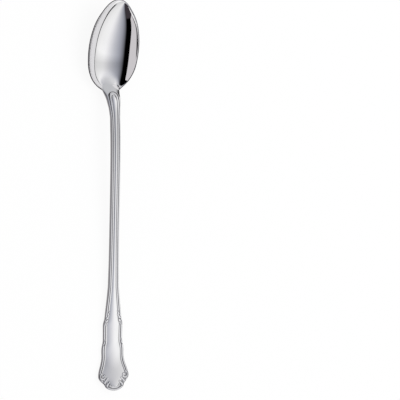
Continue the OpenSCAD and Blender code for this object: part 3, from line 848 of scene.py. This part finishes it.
# Where the mouth crosses the middle at the heel, as a share of the bowl's length, how much
# further back the outside's one does, in mm, and the weights of these two points
LAND_SHARE, LAND_BACK, INSIDE_WEIGHT, OUTSIDE_WEIGHT = 0.03, 1.2, 5, 9
# Arcs that the inside and the outside follow
INSIDE_ARC, OUTSIDE_ARC = 0.93, 0.88
# In mm: where the inside starts to round over to the rim, the rim's rounded outer edge, and
# the step with which a slope is measured
RIM_ROUND, RIM_CURL, SLOPE_STEP = 0.25, 0.22, 0.02
# The rim makes room for the neck: from how many steps before the heel's corner and over how
# many, how far it sinks there and over how many mm up to its inner line
HEEL_LEAD, HEEL_SPAN, HEEL_SINK, SINK_REACH = 2, 3.5, 1.6, 2.6
# Steps before the heel's corner over which the rounded edge of the rim runs out
CURL_LEAD = 1.5
# Width of the join of bowl and neck at the outline, what it gains inwards and over how many
# mm, and the last mm over which the top meets the outline's own height
JOIN_LEAST, JOIN_WIDE, JOIN_REACH, EDGE_REACH = 0.2, 3, 6, 1.2
# Step with which the neck's slope is measured, in mm
NECK_STEP = 0.05
# Shares of the way down the upright edge, and the places on the rounding below it
EDGE_WAY = np.array([0.3, 0.7, 1])[:, None]
UNDER_WAY = np.array([0.25, 0.5, 0.75])[:, None]
# Share of a ray, from the middle, on which the outside's sheet keeps its own height
OWN_SHARE = 0.3
# Keel under the heel, in mm: its length, how it rounds up with the square of the distance
# across, a small lift and the mm over which it comes, and how far and over how many mm the
# keel drops past its end, where the sheet goes on alone
KEEL_LENGTH, KEEL_ROUND, KEEL_LIFT, LIFT_REACH = 11, 0.03, 0.02, 3
KEEL_DROP, DROP_REACH = 0.5, 6
# The keel's join: its least width, what it gains inwards and how fast, and where along the
# keel and over how many mm it narrows again
KEEL_LEAST, KEEL_WIDE, KEEL_RATE, KEEL_NARROW, NARROW_OVER = 0.02, 1.2, 4, 4, 6
# Painted dark line along the rim, painted shade at its edge: rows of its flat that it covers
# and the rows under its edge, which are less dark
DARK_ROWS, UNDER_ROWS, UNDER_DARK = 6, 4, 0.6


class BowlShape:
    """Right half of the bowl on rays from its middle, one for each station: along the outline
    from the tip to the heel's corner, then along the joint with the neck."""

    def __init__(self, plan):
        self.plan = plan
        outline = np.vstack([
            np.array(BOWL) * [plan.bowl_width / 2, -plan.bowl_length] + [0, plan.total],
            (plan.heel_width / 2, plan.heel)])
        self.last = len(outline) - 1
        self.full = np.concatenate([flip(outline[:0:-1]), outline])
        corner = RIM_STEPS * self.last
        stations = np.unique(np.r_[np.linspace(0, corner, RIM_RAYS),
                                   np.linspace(corner, corner + HEEL_STEPS, HEEL_RAYS)])
        past = stations - corner
        self.at_heel = past[:, None] >= 0
        self.heel_way = np.clip(past / HEEL_STEPS, 0, 1)
        self.heel_share = ease((past + HEEL_LEAD) / HEEL_SPAN)[:, None]
        self.curl = RIM_CURL * (1 - ease((past + CURL_LEAD) / CURL_LEAD))[:, None]
        heel_line = np.stack([plan.heel_width / 2 * (1 - self.heel_way),
                              np.full_like(past, plan.heel)], -1)
        self.outer = np.where(self.at_heel, heel_line, self.rim(np.minimum(stations, corner)))
        self.outer_z = np.where(self.at_heel[:, 0], plan.top_z(*heel_line.T),
                                plan.rim_top(self.outer[:, 1]))[:, None]
        self.fit_sheets(corner * FIT_SHARE)
        inner = self.inside.mouth(self.inside.polar(self.outer)[0])
        inner[[0, -1], 0] = self.outer[[0, -1], 0] = 0
        self.middle = np.array([0, plan.heel + plan.bowl_length * FAN_SHARE])
        self.away = unit(self.outer - self.middle)
        self.to_inner, self.to_outer = (
            ((line - self.middle) * self.away).sum(-1)[:, None] for line in (inner, self.outer))

    def rim(self, place):
        """Points of the outline at places counted in steps from the tip."""
        return fair_line(self.full, self.last + place / RIM_STEPS)

    def fit_sheets(self, end):
        """Sheets of the inside, fitted to the rim's inner line, and of the outside."""
        plan, j = self.plan, np.linspace(0, end, FIT_POINTS)
        line = self.rim(j)
        inward = turned(unit(self.rim(j + FIT_STEP) - self.rim(j - FIT_STEP)))
        land = np.array([[0, plan.heel + plan.bowl_length * LAND_SHARE]])
        self.inside = Hollow(
            plan, np.concatenate([line + inward * plan.rim_width,
                                  np.repeat(land, INSIDE_WEIGHT, 0)]),
            plan.rim_width, 0, plan.bowl_wall, INSIDE_ARC)
        self.outside = Hollow(
            plan, np.concatenate([line, np.repeat(land - [0, LAND_BACK], OUTSIDE_WEIGHT, 0)]),
            0, plan.edge_height, 0, OUTSIDE_ARC)

    def on_rays(self, d):
        """Points of the plane at distances d along the rays."""
        return self.middle + self.away[:, None] * d[..., None]

    def depth(self, d):
        """Depth of the inside's sheet below the rim at distances d along the rays."""
        p = self.on_rays(d)
        return self.plan.rim_top(p[..., 1]) - self.inside.height(p)

    def neck_top(self, x, past):
        """The neck's top, carried on past the heel as a slope with a parabola as its crown."""
        plan, edge = self.plan, self.plan.edge_z(self.plan.heel)
        slope = (edge - plan.edge_z(plan.heel - NECK_STEP)) / NECK_STEP
        crown = plan.top_z(0, plan.heel) - edge
        return edge + slope * past + crown * (1 - (2 * x / plan.heel_width) ** 2)

    def joined(self, d):
        """Height of the top at distances d along the rays: the inside's sheet, rounded over
        to the rim by the parabola that leaves it with the same slope, sunk at the heel and
        joined with the neck's top."""
        start = self.to_inner - RIM_ROUND
        depth = self.depth(start)
        slope = (self.depth(start - SLOPE_STEP) - depth) / SLOPE_STEP
        rest = np.clip(1 - (d - start) * slope / (2 * depth), 0, None)
        deep = np.where(d > start, depth * rest**2, self.depth(np.minimum(d, start)))
        x, s = np.moveaxis(self.on_rays(d), -1, 0)
        sink = HEEL_SINK * self.heel_share * ease((d - self.to_inner + SINK_REACH) / SINK_REACH)
        wide = JOIN_LEAST + JOIN_WIDE * ease((self.to_outer - d) / JOIN_REACH)
        return smooth_max(self.plan.rim_top(s) - deep - sink,
                          self.neck_top(x, s - self.plan.heel), wide)

    def top(self, d):
        """The same, eased over the last stretch to the height of the outline itself."""
        gap = self.outer_z - self.joined(self.to_outer)
        return self.joined(d) + gap * ease((d - self.to_outer + EDGE_REACH) / EDGE_REACH)

    def top_rows(self):
        """Inside and rim, up to the rounding of the rim's outer edge."""
        start = self.to_inner - RIM_ROUND
        flat = self.to_outer - self.curl - start
        d = np.concatenate([
            start * np.linspace(0, 1, INSIDE_ROWS + 1)[:-1] ** INSIDE_SPREAD,
            start + flat * np.linspace(0, 1, RIM_ROWS)], 1)
        return np.dstack([self.on_rays(d), self.top(d)])

    def curl_rows(self):
        """Rounding of the rim's outer edge: a quarter of a circle."""
        c = np.radians(np.linspace(0, 90, CURL_ROWS + 1))[1:]
        d = self.to_outer - self.curl * (1 - np.sin(c))
        return np.dstack([self.on_rays(d), self.outer_z - self.curl * (1 - np.cos(c))])

    def lower_line(self):
        """Lower border of the upright edge: under the rim, then along the back of the joint
        with the neck, which the stations share out evenly."""
        corner = np.array([[self.plan.heel_width / 2, self.plan.heel]])
        back = straight_back(self.plan, corner, np.zeros(1))[0, len(SIDE_WAY) - 1:]
        way = lengths(back)
        joint = np.stack([np.interp(self.heel_way, way / way[-1], row) for row in back.T], -1)
        rim = np.concatenate([self.outer, self.outer_z - self.plan.edge_height], 1)
        return np.where(self.at_heel, joint, rim)

    def with_keel(self, p, z, q):
        """Height z of the outside, joined with the neck's back. That runs out under the bowl
        as a low keel, whose height goes with the square of what is left of its length, and
        which rounds up to both sides. q is the share of the ray, 1 at the lower line."""
        plan, past = self.plan, p[..., 1] - self.plan.heel
        keel = ((plan.edge_z(plan.heel) - plan.heel_thickness)
                * np.clip(1 - past / KEEL_LENGTH, 0, 1) ** 2
                + KEEL_ROUND * p[..., 0] ** 2 + KEEL_LIFT * ease(past / LIFT_REACH)
                - KEEL_DROP * ease((past - KEEL_LENGTH) / DROP_REACH))
        narrow = 1 - ease((past - KEEL_NARROW) / NARROW_OVER)
        return smooth_max(z, keel, KEEL_LEAST + KEEL_WIDE * ease(KEEL_RATE * (1 - q)) * narrow)

    def outside_rows(self, below):
        """Outside, from the lower line back to the middle underneath. What the sheet misses
        of the line's height is added, by an ease over the outer part of the ray."""
        way = below[:, :2] - self.middle
        reach = np.linalg.norm(way, axis=1)[:, None]
        q = np.linspace(1, 0, OUTSIDE_ROWS) ** OUTSIDE_SPREAD * (1 - self.curl / reach)
        p = self.middle + unit(way)[:, None] * (q * reach)[..., None]
        gap = below[:, 2:] - self.outside.height(below[:, None, :2])
        z = self.outside.height(p) + gap * ease((q - OWN_SHARE) / (1 - OWN_SHARE))
        return np.dstack([p, self.with_keel(p, z, q)])

    def rows(self):
        """All points of the right half's rays, and the painted shade there. The edge's
        lower rounding is a parabola from the edge to the outside."""
        top, curl = self.top_rows(), self.curl_rows()
        below = self.lower_line()
        low = below + np.concatenate([np.zeros_like(self.outer), self.curl], 1)
        first = curl[:, -1:]
        edge = first + (low[:, None] - first) * EDGE_WAY
        outside = self.outside_rows(below)
        u = UNDER_WAY
        under = (low[:, None] * (1 - u) ** 2 + below[:, None] * 2 * u * (1 - u)
                 + outside[:, :1] * u * u)
        points = np.concatenate([top, curl, edge, under, outside], 1)
        # painted shade along the rim's flat and under its edge, none at the heel
        dark = np.zeros(points.shape[1])
        bend = top.shape[1] + CURL_ROWS + 1
        dark[top.shape[1] - DARK_ROWS: bend] = 1
        dark[bend: bend + UNDER_ROWS] = UNDER_DARK
        return points, dark * (1 - self.heel_share)


class SPOON_OT_bowl(bpy.types.Operator):
    """Makes the egg-shaped bowl on a fan of rays from its middle"""

    bl_idname = "spoon.bowl"
    bl_label = "Bowl"

    def execute(self, context):
        plan = Plan(context.scene)
        half, painted_shade = BowlShape(plan).rows()
        rays = np.concatenate([half, flip(half[-2:0:-1]), half[:1]])
        painted_shade = np.concatenate([painted_shade, painted_shade[-2:0:-1], painted_shade[:1]])
        piece = make_piece("polished_bowl", rays, grid_faces(*rays.shape[:2]), [], painted_shade,
                           plan.total)
        dress(piece, "bowl", polished_metal(context.scene))
        return {"FINISHED"}


# Neck, stem and handle end

# Stations along the neck's heel and sides, along the stem and round the handle end
HEEL_STATIONS, NECK_STATIONS, STEM_STATIONS, END_STATIONS = 90, 110, 260, 520
# Share of the neck's length over which the bead starts to fall to the edge
BEAD_START = 0.25
# Points of the end's outline on either side, between which its direction is measured
END_REACH = 2


def neck_lines(plan):
    """Stations of the neck's right half, which run along the joint at the heel and then down
    the side to the stem, and the outline, the groove and the panel's edge at them."""
    corner, last = HEEL_STEPS, HEEL_STEPS + len(NECK_PLACES) + 1
    t = np.unique(np.r_[np.linspace(0, corner, HEEL_STATIONS),
                        np.linspace(corner, last, NECK_STATIONS)])

    def arch(shares, inset):
        p = np.vstack([np.array(shares) * [plan.neck_width, -plan.neck_length] + [0, plan.heel],
                       (plan.foot_width / 2 - inset, plan.stem_end)])
        line = fair_line(np.concatenate([flip(p[:0:-1]), p]), len(p) - 1 + t)
        line[0, 0] = 0
        return line

    places = np.r_[0, NECK_PLACES, 1]
    s = plan.heel - plan.neck_length * np.interp(t - corner, np.arange(len(places)), places)
    x = np.where(t < corner, plan.heel_width / 2 * t / corner, plan.half_at(s))
    return (t, np.stack([x, s], -1), arch(GROOVE_ARCH, plan.stem_bead),
            arch(PANEL_ARCH, plan.stem_bead + plan.stem_thread))


class SPOON_OT_neck(bpy.types.Operator):
    """Makes the neck, where the groove and the panel start as two arches"""

    bl_idname = "spoon.neck"
    bl_label = "Neck"

    def execute(self, context):
        plan = Plan(context.scene)
        t, o, g, k = neck_lines(plan)
        way = ease((plan.heel - o[:, 1]) / (plan.neck_length * BEAD_START))
        top, painted_shade = top_sheet(plan, o, g, k, way)
        sides = t >= HEEL_STEPS
        back = np.concatenate([top[sides, -1:], straight_back(plan, o[sides], way[sides])], 1)

        sheet = np.concatenate([flip(top[:, :0:-1]), top], 1)
        under = np.concatenate([back, flip(back[:, -2::-1])], 1)
        points = np.concatenate([sheet.reshape(-1, 3), under.reshape(-1, 3)])
        painted_shade = np.concatenate([painted_shade[:, :0:-1], painted_shade], 1)
        painted_shade = np.r_[painted_shade.ravel(), np.zeros(under.shape[0] * under.shape[1])]
        (rows, wide), (ribs, deep) = sheet.shape[:2], under.shape[:2]
        first = rows * wide
        faces = np.concatenate([grid_faces(rows, wide), grid_faces(ribs, deep, first)])

        # flat caps: the sheet's border and the points between them on the back
        heel = np.flatnonzero(t <= HEEL_STEPS) * wide
        between = first + np.arange(1, deep - 1)
        heel_cap = np.r_[heel + wide - 1, between, heel[:0:-1]]
        foot_cap = np.r_[first - wide + np.arange(wide), between + (ribs - 1) * deep]
        piece = make_piece("polished_neck", points, faces, [heel_cap, foot_cap], painted_shade,
                           plan.total)
        dress(piece, "neck", polished_metal(context.scene))
        return {"FINISHED"}


class SPOON_OT_stem(bpy.types.Operator):
    """Makes the slim stem, with its bead, thread and panel"""

    bl_idname = "spoon.stem"
    bl_label = "Stem"

    def execute(self, context):
        plan = Plan(context.scene)
        s = np.linspace(plan.stem_end, plan.end_total, STEM_STATIONS)
        o = np.stack([plan.half_at(s), s], -1)
        g, k = o - [plan.stem_bead, 0], o - [plan.stem_bead + plan.stem_thread, 0]
        way = np.ones(len(s))
        top, painted_shade = top_sheet(plan, o, g, k, way)
        piece = make_rings("polished_stem", top, straight_back(plan, o, way), painted_shade,
                           (0, len(s) - 1), plan.total)
        dress(piece, "stem", polished_metal(context.scene))
        return {"FINISHED"}


def end_lines(plan):
    """Outline, groove and panel's edge of the handle end's right half, from the flare to the
    middle of the end. The inner two are the outline's points, moved inwards."""
    half = plan.shoulder_width / 2
    sides = np.concatenate([
        stretch(FLARE, plan.end_total, plan.shoulder_s, plan.flare_width / 2, half),
        stretch(SIDE, plan.shoulder_s, plan.cusp_s, 0, half),
        stretch(CUSP, plan.cusp_s, plan.waist_s, half, plan.waist_width / 2),
        stretch(LOBE, plan.waist_s, plan.corner_s, plan.waist_width / 2,
                plan.lobe_width / 2)])
    end = np.array(END) * [plan.lobe_width / 2, plan.corner_s]
    outline = np.concatenate([sides[:, ::-1], end])
    full = np.concatenate([outline, flip(outline[-2::-1])])
    i = np.arange(len(outline))
    inward = turned(unit(full[i + END_REACH] - full[np.maximum(i - END_REACH, 0)]))
    inward[0] = (-1, 0)
    t = np.linspace(0, len(outline) - 1, END_STATIONS)
    stem_insets = np.cumsum([0, plan.stem_bead, plan.stem_thread])
    end_insets = np.cumsum([0, plan.end_bead, plan.end_thread])
    for stem, wide in zip(stem_insets, end_insets):
        inset = stem + (wide - stem) * plan.end_way(outline[:, 1:])
        p = outline + inward * inset
        line = fair_line(np.concatenate([p, flip(p[-2::-1])]), t)
        line[-1, 0] = 0
        yield line


class SPOON_OT_handle_end(bpy.types.Operator):
    """Makes the handle end, with its moulding, scrolls and leaves"""

    bl_idname = "spoon.handle_end"
    bl_label = "Handle end"

    def execute(self, context):
        plan = Plan(context.scene)
        o, g, k = end_lines(plan)
        way = np.ones(len(o))
        top, painted_shade = top_sheet(plan, o, g, k, way, scrolls=True)
        piece = make_rings("polished_handle_end", top, back_sheet(plan, o, k, k * [0, 1], way),
                           painted_shade, (0,), plan.total)
        dress(piece, "handle_end", polished_metal(context.scene))
        return {"FINISHED"}


# Light tent

# Its light: degrees past the black strip's near edge, and the colour there
TENT = [
    (-10, (0, 0, 0)),
    (-2, (0.001, 0.001, 0.001)),
    (0, (0.03, 0.03, 0.035)),
    (4, (0.135, 0.14, 0.158)),
    (8, (0.20, 0.206, 0.24)),
    (15, (0.315, 0.325, 0.372)),
    (22, (0.395, 0.41, 0.462)),
    (29, (0.475, 0.485, 0.535)),
    (36, (0.56, 0.57, 0.615)),
    (43, (0.665, 0.672, 0.71)),
    (50, (0.78, 0.782, 0.81)),
    (57, (0.89, 0.89, 0.905)),
    (64, (0.965, 0.965, 0.975)),
    (72, (0.965, 0.97, 0.97)),
    (84, (0.95, 0.95, 0.95)),
    (98, (0.875, 0.875, 0.875)),
    (120, (0.78, 0.78, 0.785)),
    (130, (0.74, 0.74, 0.745)),
]
# Level of that light along the spoon: degrees from straight up to the tip, and the share
TENT_LEVEL = [(-90, 0.88), (-62, 0.94), (-40, 1.0), (-24, 1.0), (-14, 1.05), (-4, 0.79),
              (1, 0.8), (8, 0.9), (16, 0.98), (26, 1.0), (40, 1.0), (54, 0.86),
              (68, 0.7), (90, 0.62)]
# Edges of the black strip: degrees across at straight up, and how they move with the angle
# along, from its least value on, and with its square. The far edge moves away at both ends:
# degrees along from and to, and degrees across there
NEAR_EDGE = (-22.0, 0.236, 0.0005)
FAR_EDGE = (-43.2, 0.2026, -0.0036)
LEAST_ALONG = -58.0
FAR_EDGE_ENDS = [(-66, -56, 50.0, 0.0), (38, 60, 0.0, 70.0)]
# Height of the dark gap at the tent's foot in degrees, from left to right, and the share of
# it from the handle's side to the tip's
FOOT_ACROSS = (-20, 20, 7.0, 14.0)
FOOT_ALONG = (-45, -10, 0.45, 1.0)
# Patches laid over the light in turn: the angles that bring them in, each with the degrees
# from and to and sometimes the shares there, their strength and their colour
PATCHES = [
    # darker at the low right, towards the tip
    ([("across", 50, 95), ("along", 5, 35)], 0.6, (0.3, 0.3, 0.31)),
    # the strip turns dark grey towards the handle
    ([("along", -60, -57, 1, 0), ("past", -1, 1, 1, 0)], 1.0, (0.045, 0.038, 0.045)),
    # pale side beyond the strip
    ([("beyond", -0.8, 0.8)], 1.0, (0.655, 0.635, 0.65)),
    # even grey towards the tip, which the heel mirrors
    ([("along", 24, 60), ("past", 4, 24)], 1.0, (0.56, 0.57, 0.59)),
    # dark gap round the foot
    ([("under", -1.5, 1.5), ("along", -62, -50), ("along", 36, 48, 1, 0)], 1.0,
     (0.02, 0.02, 0.022)),
    # light that comes by way of a second reflection
    ([("bounces", 1.4, 1.6)], 1.0, (0.88, 0.88, 0.89)),
]


def tent_angles(m):
    """Angles in degrees, worked out from the place on the tent: across, from straight up to
    the right; along, from there to the tip; past, the angle across from the strip's near
    edge; beyond, that from its far edge; under, that below the top of the gap at the foot.
    Bounces counts the reflections on the way."""
    place = m.add("TexCoord").outputs["Object"]
    way = m.add("VectorMath", {0: place}, operation="NORMALIZE").outputs[0]
    x, y, z = m.add("SeparateXYZ", {0: way}).outputs

    def degrees(*values):
        return m.sum("MULTIPLY", m.sum(*values), math.degrees(1))

    across, along = degrees("ARCTAN2", x, z), degrees("ARCSINE", y)
    held = m.sum("MAXIMUM", along, LEAST_ALONG)
    near, far = (m.sum("MULTIPLY_ADD", held, m.sum("MULTIPLY_ADD", held, bend, slope), start)
                 for start, slope, bend in (NEAR_EDGE, FAR_EDGE))
    for run in FAR_EDGE_ENDS:
        far = m.sum("SUBTRACT", far, m.step(along, *run))
    foot = m.sum("MULTIPLY", m.step(across, *FOOT_ACROSS), m.step(along, *FOOT_ALONG))
    return {"across": across, "along": along, "past": m.sum("SUBTRACT", across, near),
            "beyond": m.sum("SUBTRACT", far, across),
            "under": m.sum("SUBTRACT", foot, degrees("ARCSINE", z)),
            "bounces": m.add("LightPath").outputs["Ray Depth"]}


def tent_material():
    """Light tent: a plain glow whose grey follows the direction from the spoon, so it is the
    same for every camera. A black strip lies to the left, between two lines that bend with
    the angle along, and a dark gap runs round the tent's foot."""
    material, m = new_material("light_tent")
    angles = tent_angles(m)
    light = m.mix(1.0, m.ramp(angles["past"], TENT), m.ramp(angles["along"], TENT_LEVEL),
                  "MULTIPLY")
    for steps, strength, colour in PATCHES:
        amount = strength
        for name, *run in steps:
            amount = m.sum("MULTIPLY", m.step(angles[name], *run), amount)
        light = m.mix(amount, light, (*colour, 1))
    m.finish(m.add("Emission", {"Color": light}))
    return material


# Stage

FLOOR_GREY = 0.82
# Half width of the floor, as a share of the tent's radius
FLOOR_SHARE = 1.2
# Quads round the tent and up it
TENT_ROUND, TENT_UP = 96, 32
# Card under the spoon and to its left, which only reflections see: a glowing dark sheet that
# paints a dark reflection of shaded floor along the spoon's edges. Two corners in metres,
# its height over the floor and its colour
CARD_CORNERS, CARD_HEIGHT, CARD_COLOUR = [(-0.08, -0.16), (0.02, 0.16)], 0.0001, (0.3, 0.29, 0.3)
# Lamp in metres, and the share of the white room that lights the spoon
LAMP_SIZE, LAMP_PLACE = 1.2, (0.35, 0.1, 1.1)
ROOM_LIGHT = 0.85
SENSOR_MM = 36
CLIP_NEAR, CLIP_FAR = 0.05, 20


def seen_rays(m):
    """1 for camera, glossy and transmitted rays, and 0 for the others."""
    path = m.add("LightPath").outputs
    seen = m.sum("MAXIMUM", path["Is Camera Ray"], path["Is Glossy Ray"])
    return m.sum("MAXIMUM", seen, path["Is Transmission Ray"])


def floor_material(lift):
    """Pale floor: soft white that keeps the shadow, mixed with plain white where it is seen."""
    material, m = new_material("pale_floor")
    soft = m.add("BsdfDiffuse", {"Color": (FLOOR_GREY, FLOOR_GREY, FLOOR_GREY, 1)})
    white = m.add("Emission", {"Strength": 1.0})
    m.finish(m.add("MixShader", {0: m.sum("MULTIPLY", seen_rays(m), lift),
                                 1: soft.outputs[0], 2: white.outputs[0]}))
    return material


def card_material():
    """Even dark grey glow of the card, a painted dark reflection."""
    material, m = new_material("dark_reflection_card")
    m.finish(m.add("Emission", {"Color": (*CARD_COLOUR, 1)}))
    return material


def room_world():
    """White room: plain white where it is seen, and a little less as a light."""
    world = bpy.data.worlds.new("white_room")
    world.use_nodes = True
    m = NodeMaker(world.node_tree)
    level = m.step(seen_rays(m), 0.0, 1.0, ROOM_LIGHT, 1.0, kind="LINEAR")
    m.finish(m.add("Background", {"Color": (1, 1, 1, 1), "Strength": level}), "OutputWorld")
    return world


def stage_mesh(name, points, faces, material):
    """Stage object from points in metres and faces."""
    mesh = bpy.data.meshes.new(name)
    mesh.from_pydata(points, [], faces)
    mesh.materials.append(material)
    thing = bpy.data.objects.new(name, mesh)
    bpy.context.scene.collection.objects.link(thing)
    return thing


def rectangle(name, corners, z, material):
    """Level rectangle of the stage between two corners."""
    (x0, y0), (x1, y1) = corners
    return stage_mesh(name, [(x0, y0, z), (x1, y0, z), (x1, y1, z), (x0, y1, z)],
                      [(0, 1, 2, 3)], material)


def light_tent(radius):
    """Half sphere over the spoon, on rings from its top down to the floor."""
    a = np.linspace(0, 2 * np.pi, TENT_ROUND + 1)[:-1]
    b = np.linspace(0, np.pi / 2, TENT_UP + 1)
    shell = np.stack([np.outer(np.sin(b), np.cos(a)), np.outer(np.sin(b), np.sin(a)),
                      np.outer(np.cos(b), np.ones(TENT_ROUND))], -1) * radius
    faces = grid_faces(TENT_UP + 1, TENT_ROUND, closed=True)
    return stage_mesh("light_tent", shell.reshape(-1, 3).tolist(), faces.tolist(),
                      tent_material())


def only_mirrored(thing):
    """Hides a thing from all but the rays that the metal reflects."""
    for kind in ("camera", "diffuse", "shadow", "transmission", "volume_scatter"):
        setattr(thing, "visible_" + kind, False)


def soft_lamp(power):
    """Round lamp that faces the spoon, with no reflection of its own."""
    lamp = bpy.data.lights.new("soft_lamp", "AREA")
    lamp.shape = "DISK"
    lamp.size = LAMP_SIZE
    lamp.energy = power
    holder = bpy.data.objects.new("soft_lamp", lamp)
    holder.location = LAMP_PLACE
    holder.rotation_euler = Vector(LAMP_PLACE).to_track_quat("Z", "Y").to_euler()
    holder.visible_glossy = False
    return holder


def photo_camera(studio):
    """Camera at the photograph's angle: its back vector comes from azimuth and elevation,
    and right and up are rolled about it."""
    az, el, roll = studio.azimuth, studio.elevation, studio.roll
    back = np.array([math.sin(az) * math.cos(el), -math.cos(az) * math.cos(el), math.sin(el)])
    right = unit(np.cross([0, 1, 0], back))
    up = np.cross(back, right)
    right, up = (right * math.cos(roll) + up * math.sin(roll),
                 up * math.cos(roll) - right * math.sin(roll))
    spot = right * studio.aim_right + up * studio.aim_up + back * studio.distance
    data = bpy.data.cameras.new("photo_camera")
    data.sensor_width = SENSOR_MM
    data.lens = SENSOR_MM * studio.distance / studio.picture_width
    data.clip_start, data.clip_end = CLIP_NEAR, CLIP_FAR
    camera = bpy.data.objects.new("photo_camera", data)
    turn = Matrix([right, up, back]).transposed().to_4x4()
    camera.matrix_world = Matrix.Translation(Vector(spot)) @ turn
    return camera


class SPOON_OT_studio(bpy.types.Operator):
    """Makes the floor, the light tent, the lamp, the world and the camera"""

    bl_idname = "spoon.studio"
    bl_label = "Studio"

    def execute(self, context):
        scene = context.scene
        studio = scene.spoon_studio
        wide = studio.tent_radius * FLOOR_SHARE
        rectangle("pale_floor", [(-wide, -wide), (wide, wide)], 0,
                  floor_material(studio.floor_lift))
        only_mirrored(light_tent(studio.tent_radius))
        only_mirrored(rectangle("dark_reflection_card", CARD_CORNERS, CARD_HEIGHT, card_material()))
        scene.collection.objects.link(soft_lamp(studio.lamp_power))
        scene.world = room_world()
        camera = photo_camera(studio)
        scene.collection.objects.link(camera)
        scene.camera = camera
        scene.view_settings.view_transform = "Standard"
        return {"FINISHED"}


class SPOON_PT_panel(bpy.types.Panel):
    """Sizes, finish and studio of the spoon, and a button for each piece"""

    bl_label = "Iced tea spoon"
    bl_idname = "SPOON_PT_panel"
    bl_space_type = "VIEW_3D"
    bl_region_type = "UI"
    bl_category = "Spoon"

    def draw(self, context):
        for name in GROUPS:
            group = getattr(context.scene, name)
            box = self.layout.box()
            for key in own_keys(group):
                box.prop(group, key)
        for operator in OPERATORS:
            self.layout.operator(operator.bl_idname)


OPERATORS = (SPOON_OT_bowl, SPOON_OT_neck, SPOON_OT_stem, SPOON_OT_handle_end, SPOON_OT_studio)
GROUPS = {"spoon_sizes": SpoonSizes, "spoon_moulding": MouldingSizes,
          "spoon_finish": FinishSettings, "spoon_studio": StudioSettings}


def register():
    for cls in (*GROUPS.values(), *OPERATORS, SPOON_PT_panel):
        bpy.utils.register_class(cls)
    for name, cls in GROUPS.items():
        setattr(bpy.types.Scene, name, PointerProperty(type=cls))


def unregister():
    for name in GROUPS:
        delattr(bpy.types.Scene, name)
    for cls in reversed((*GROUPS.values(), *OPERATORS, SPOON_PT_panel)):
        bpy.utils.unregister_class(cls)


def main():
    register()
    bpy.ops.spoon.bowl()
    bpy.ops.spoon.neck()
    bpy.ops.spoon.stem()
    bpy.ops.spoon.handle_end()
    bpy.ops.spoon.studio()


if __name__ == "__main__":
    main()
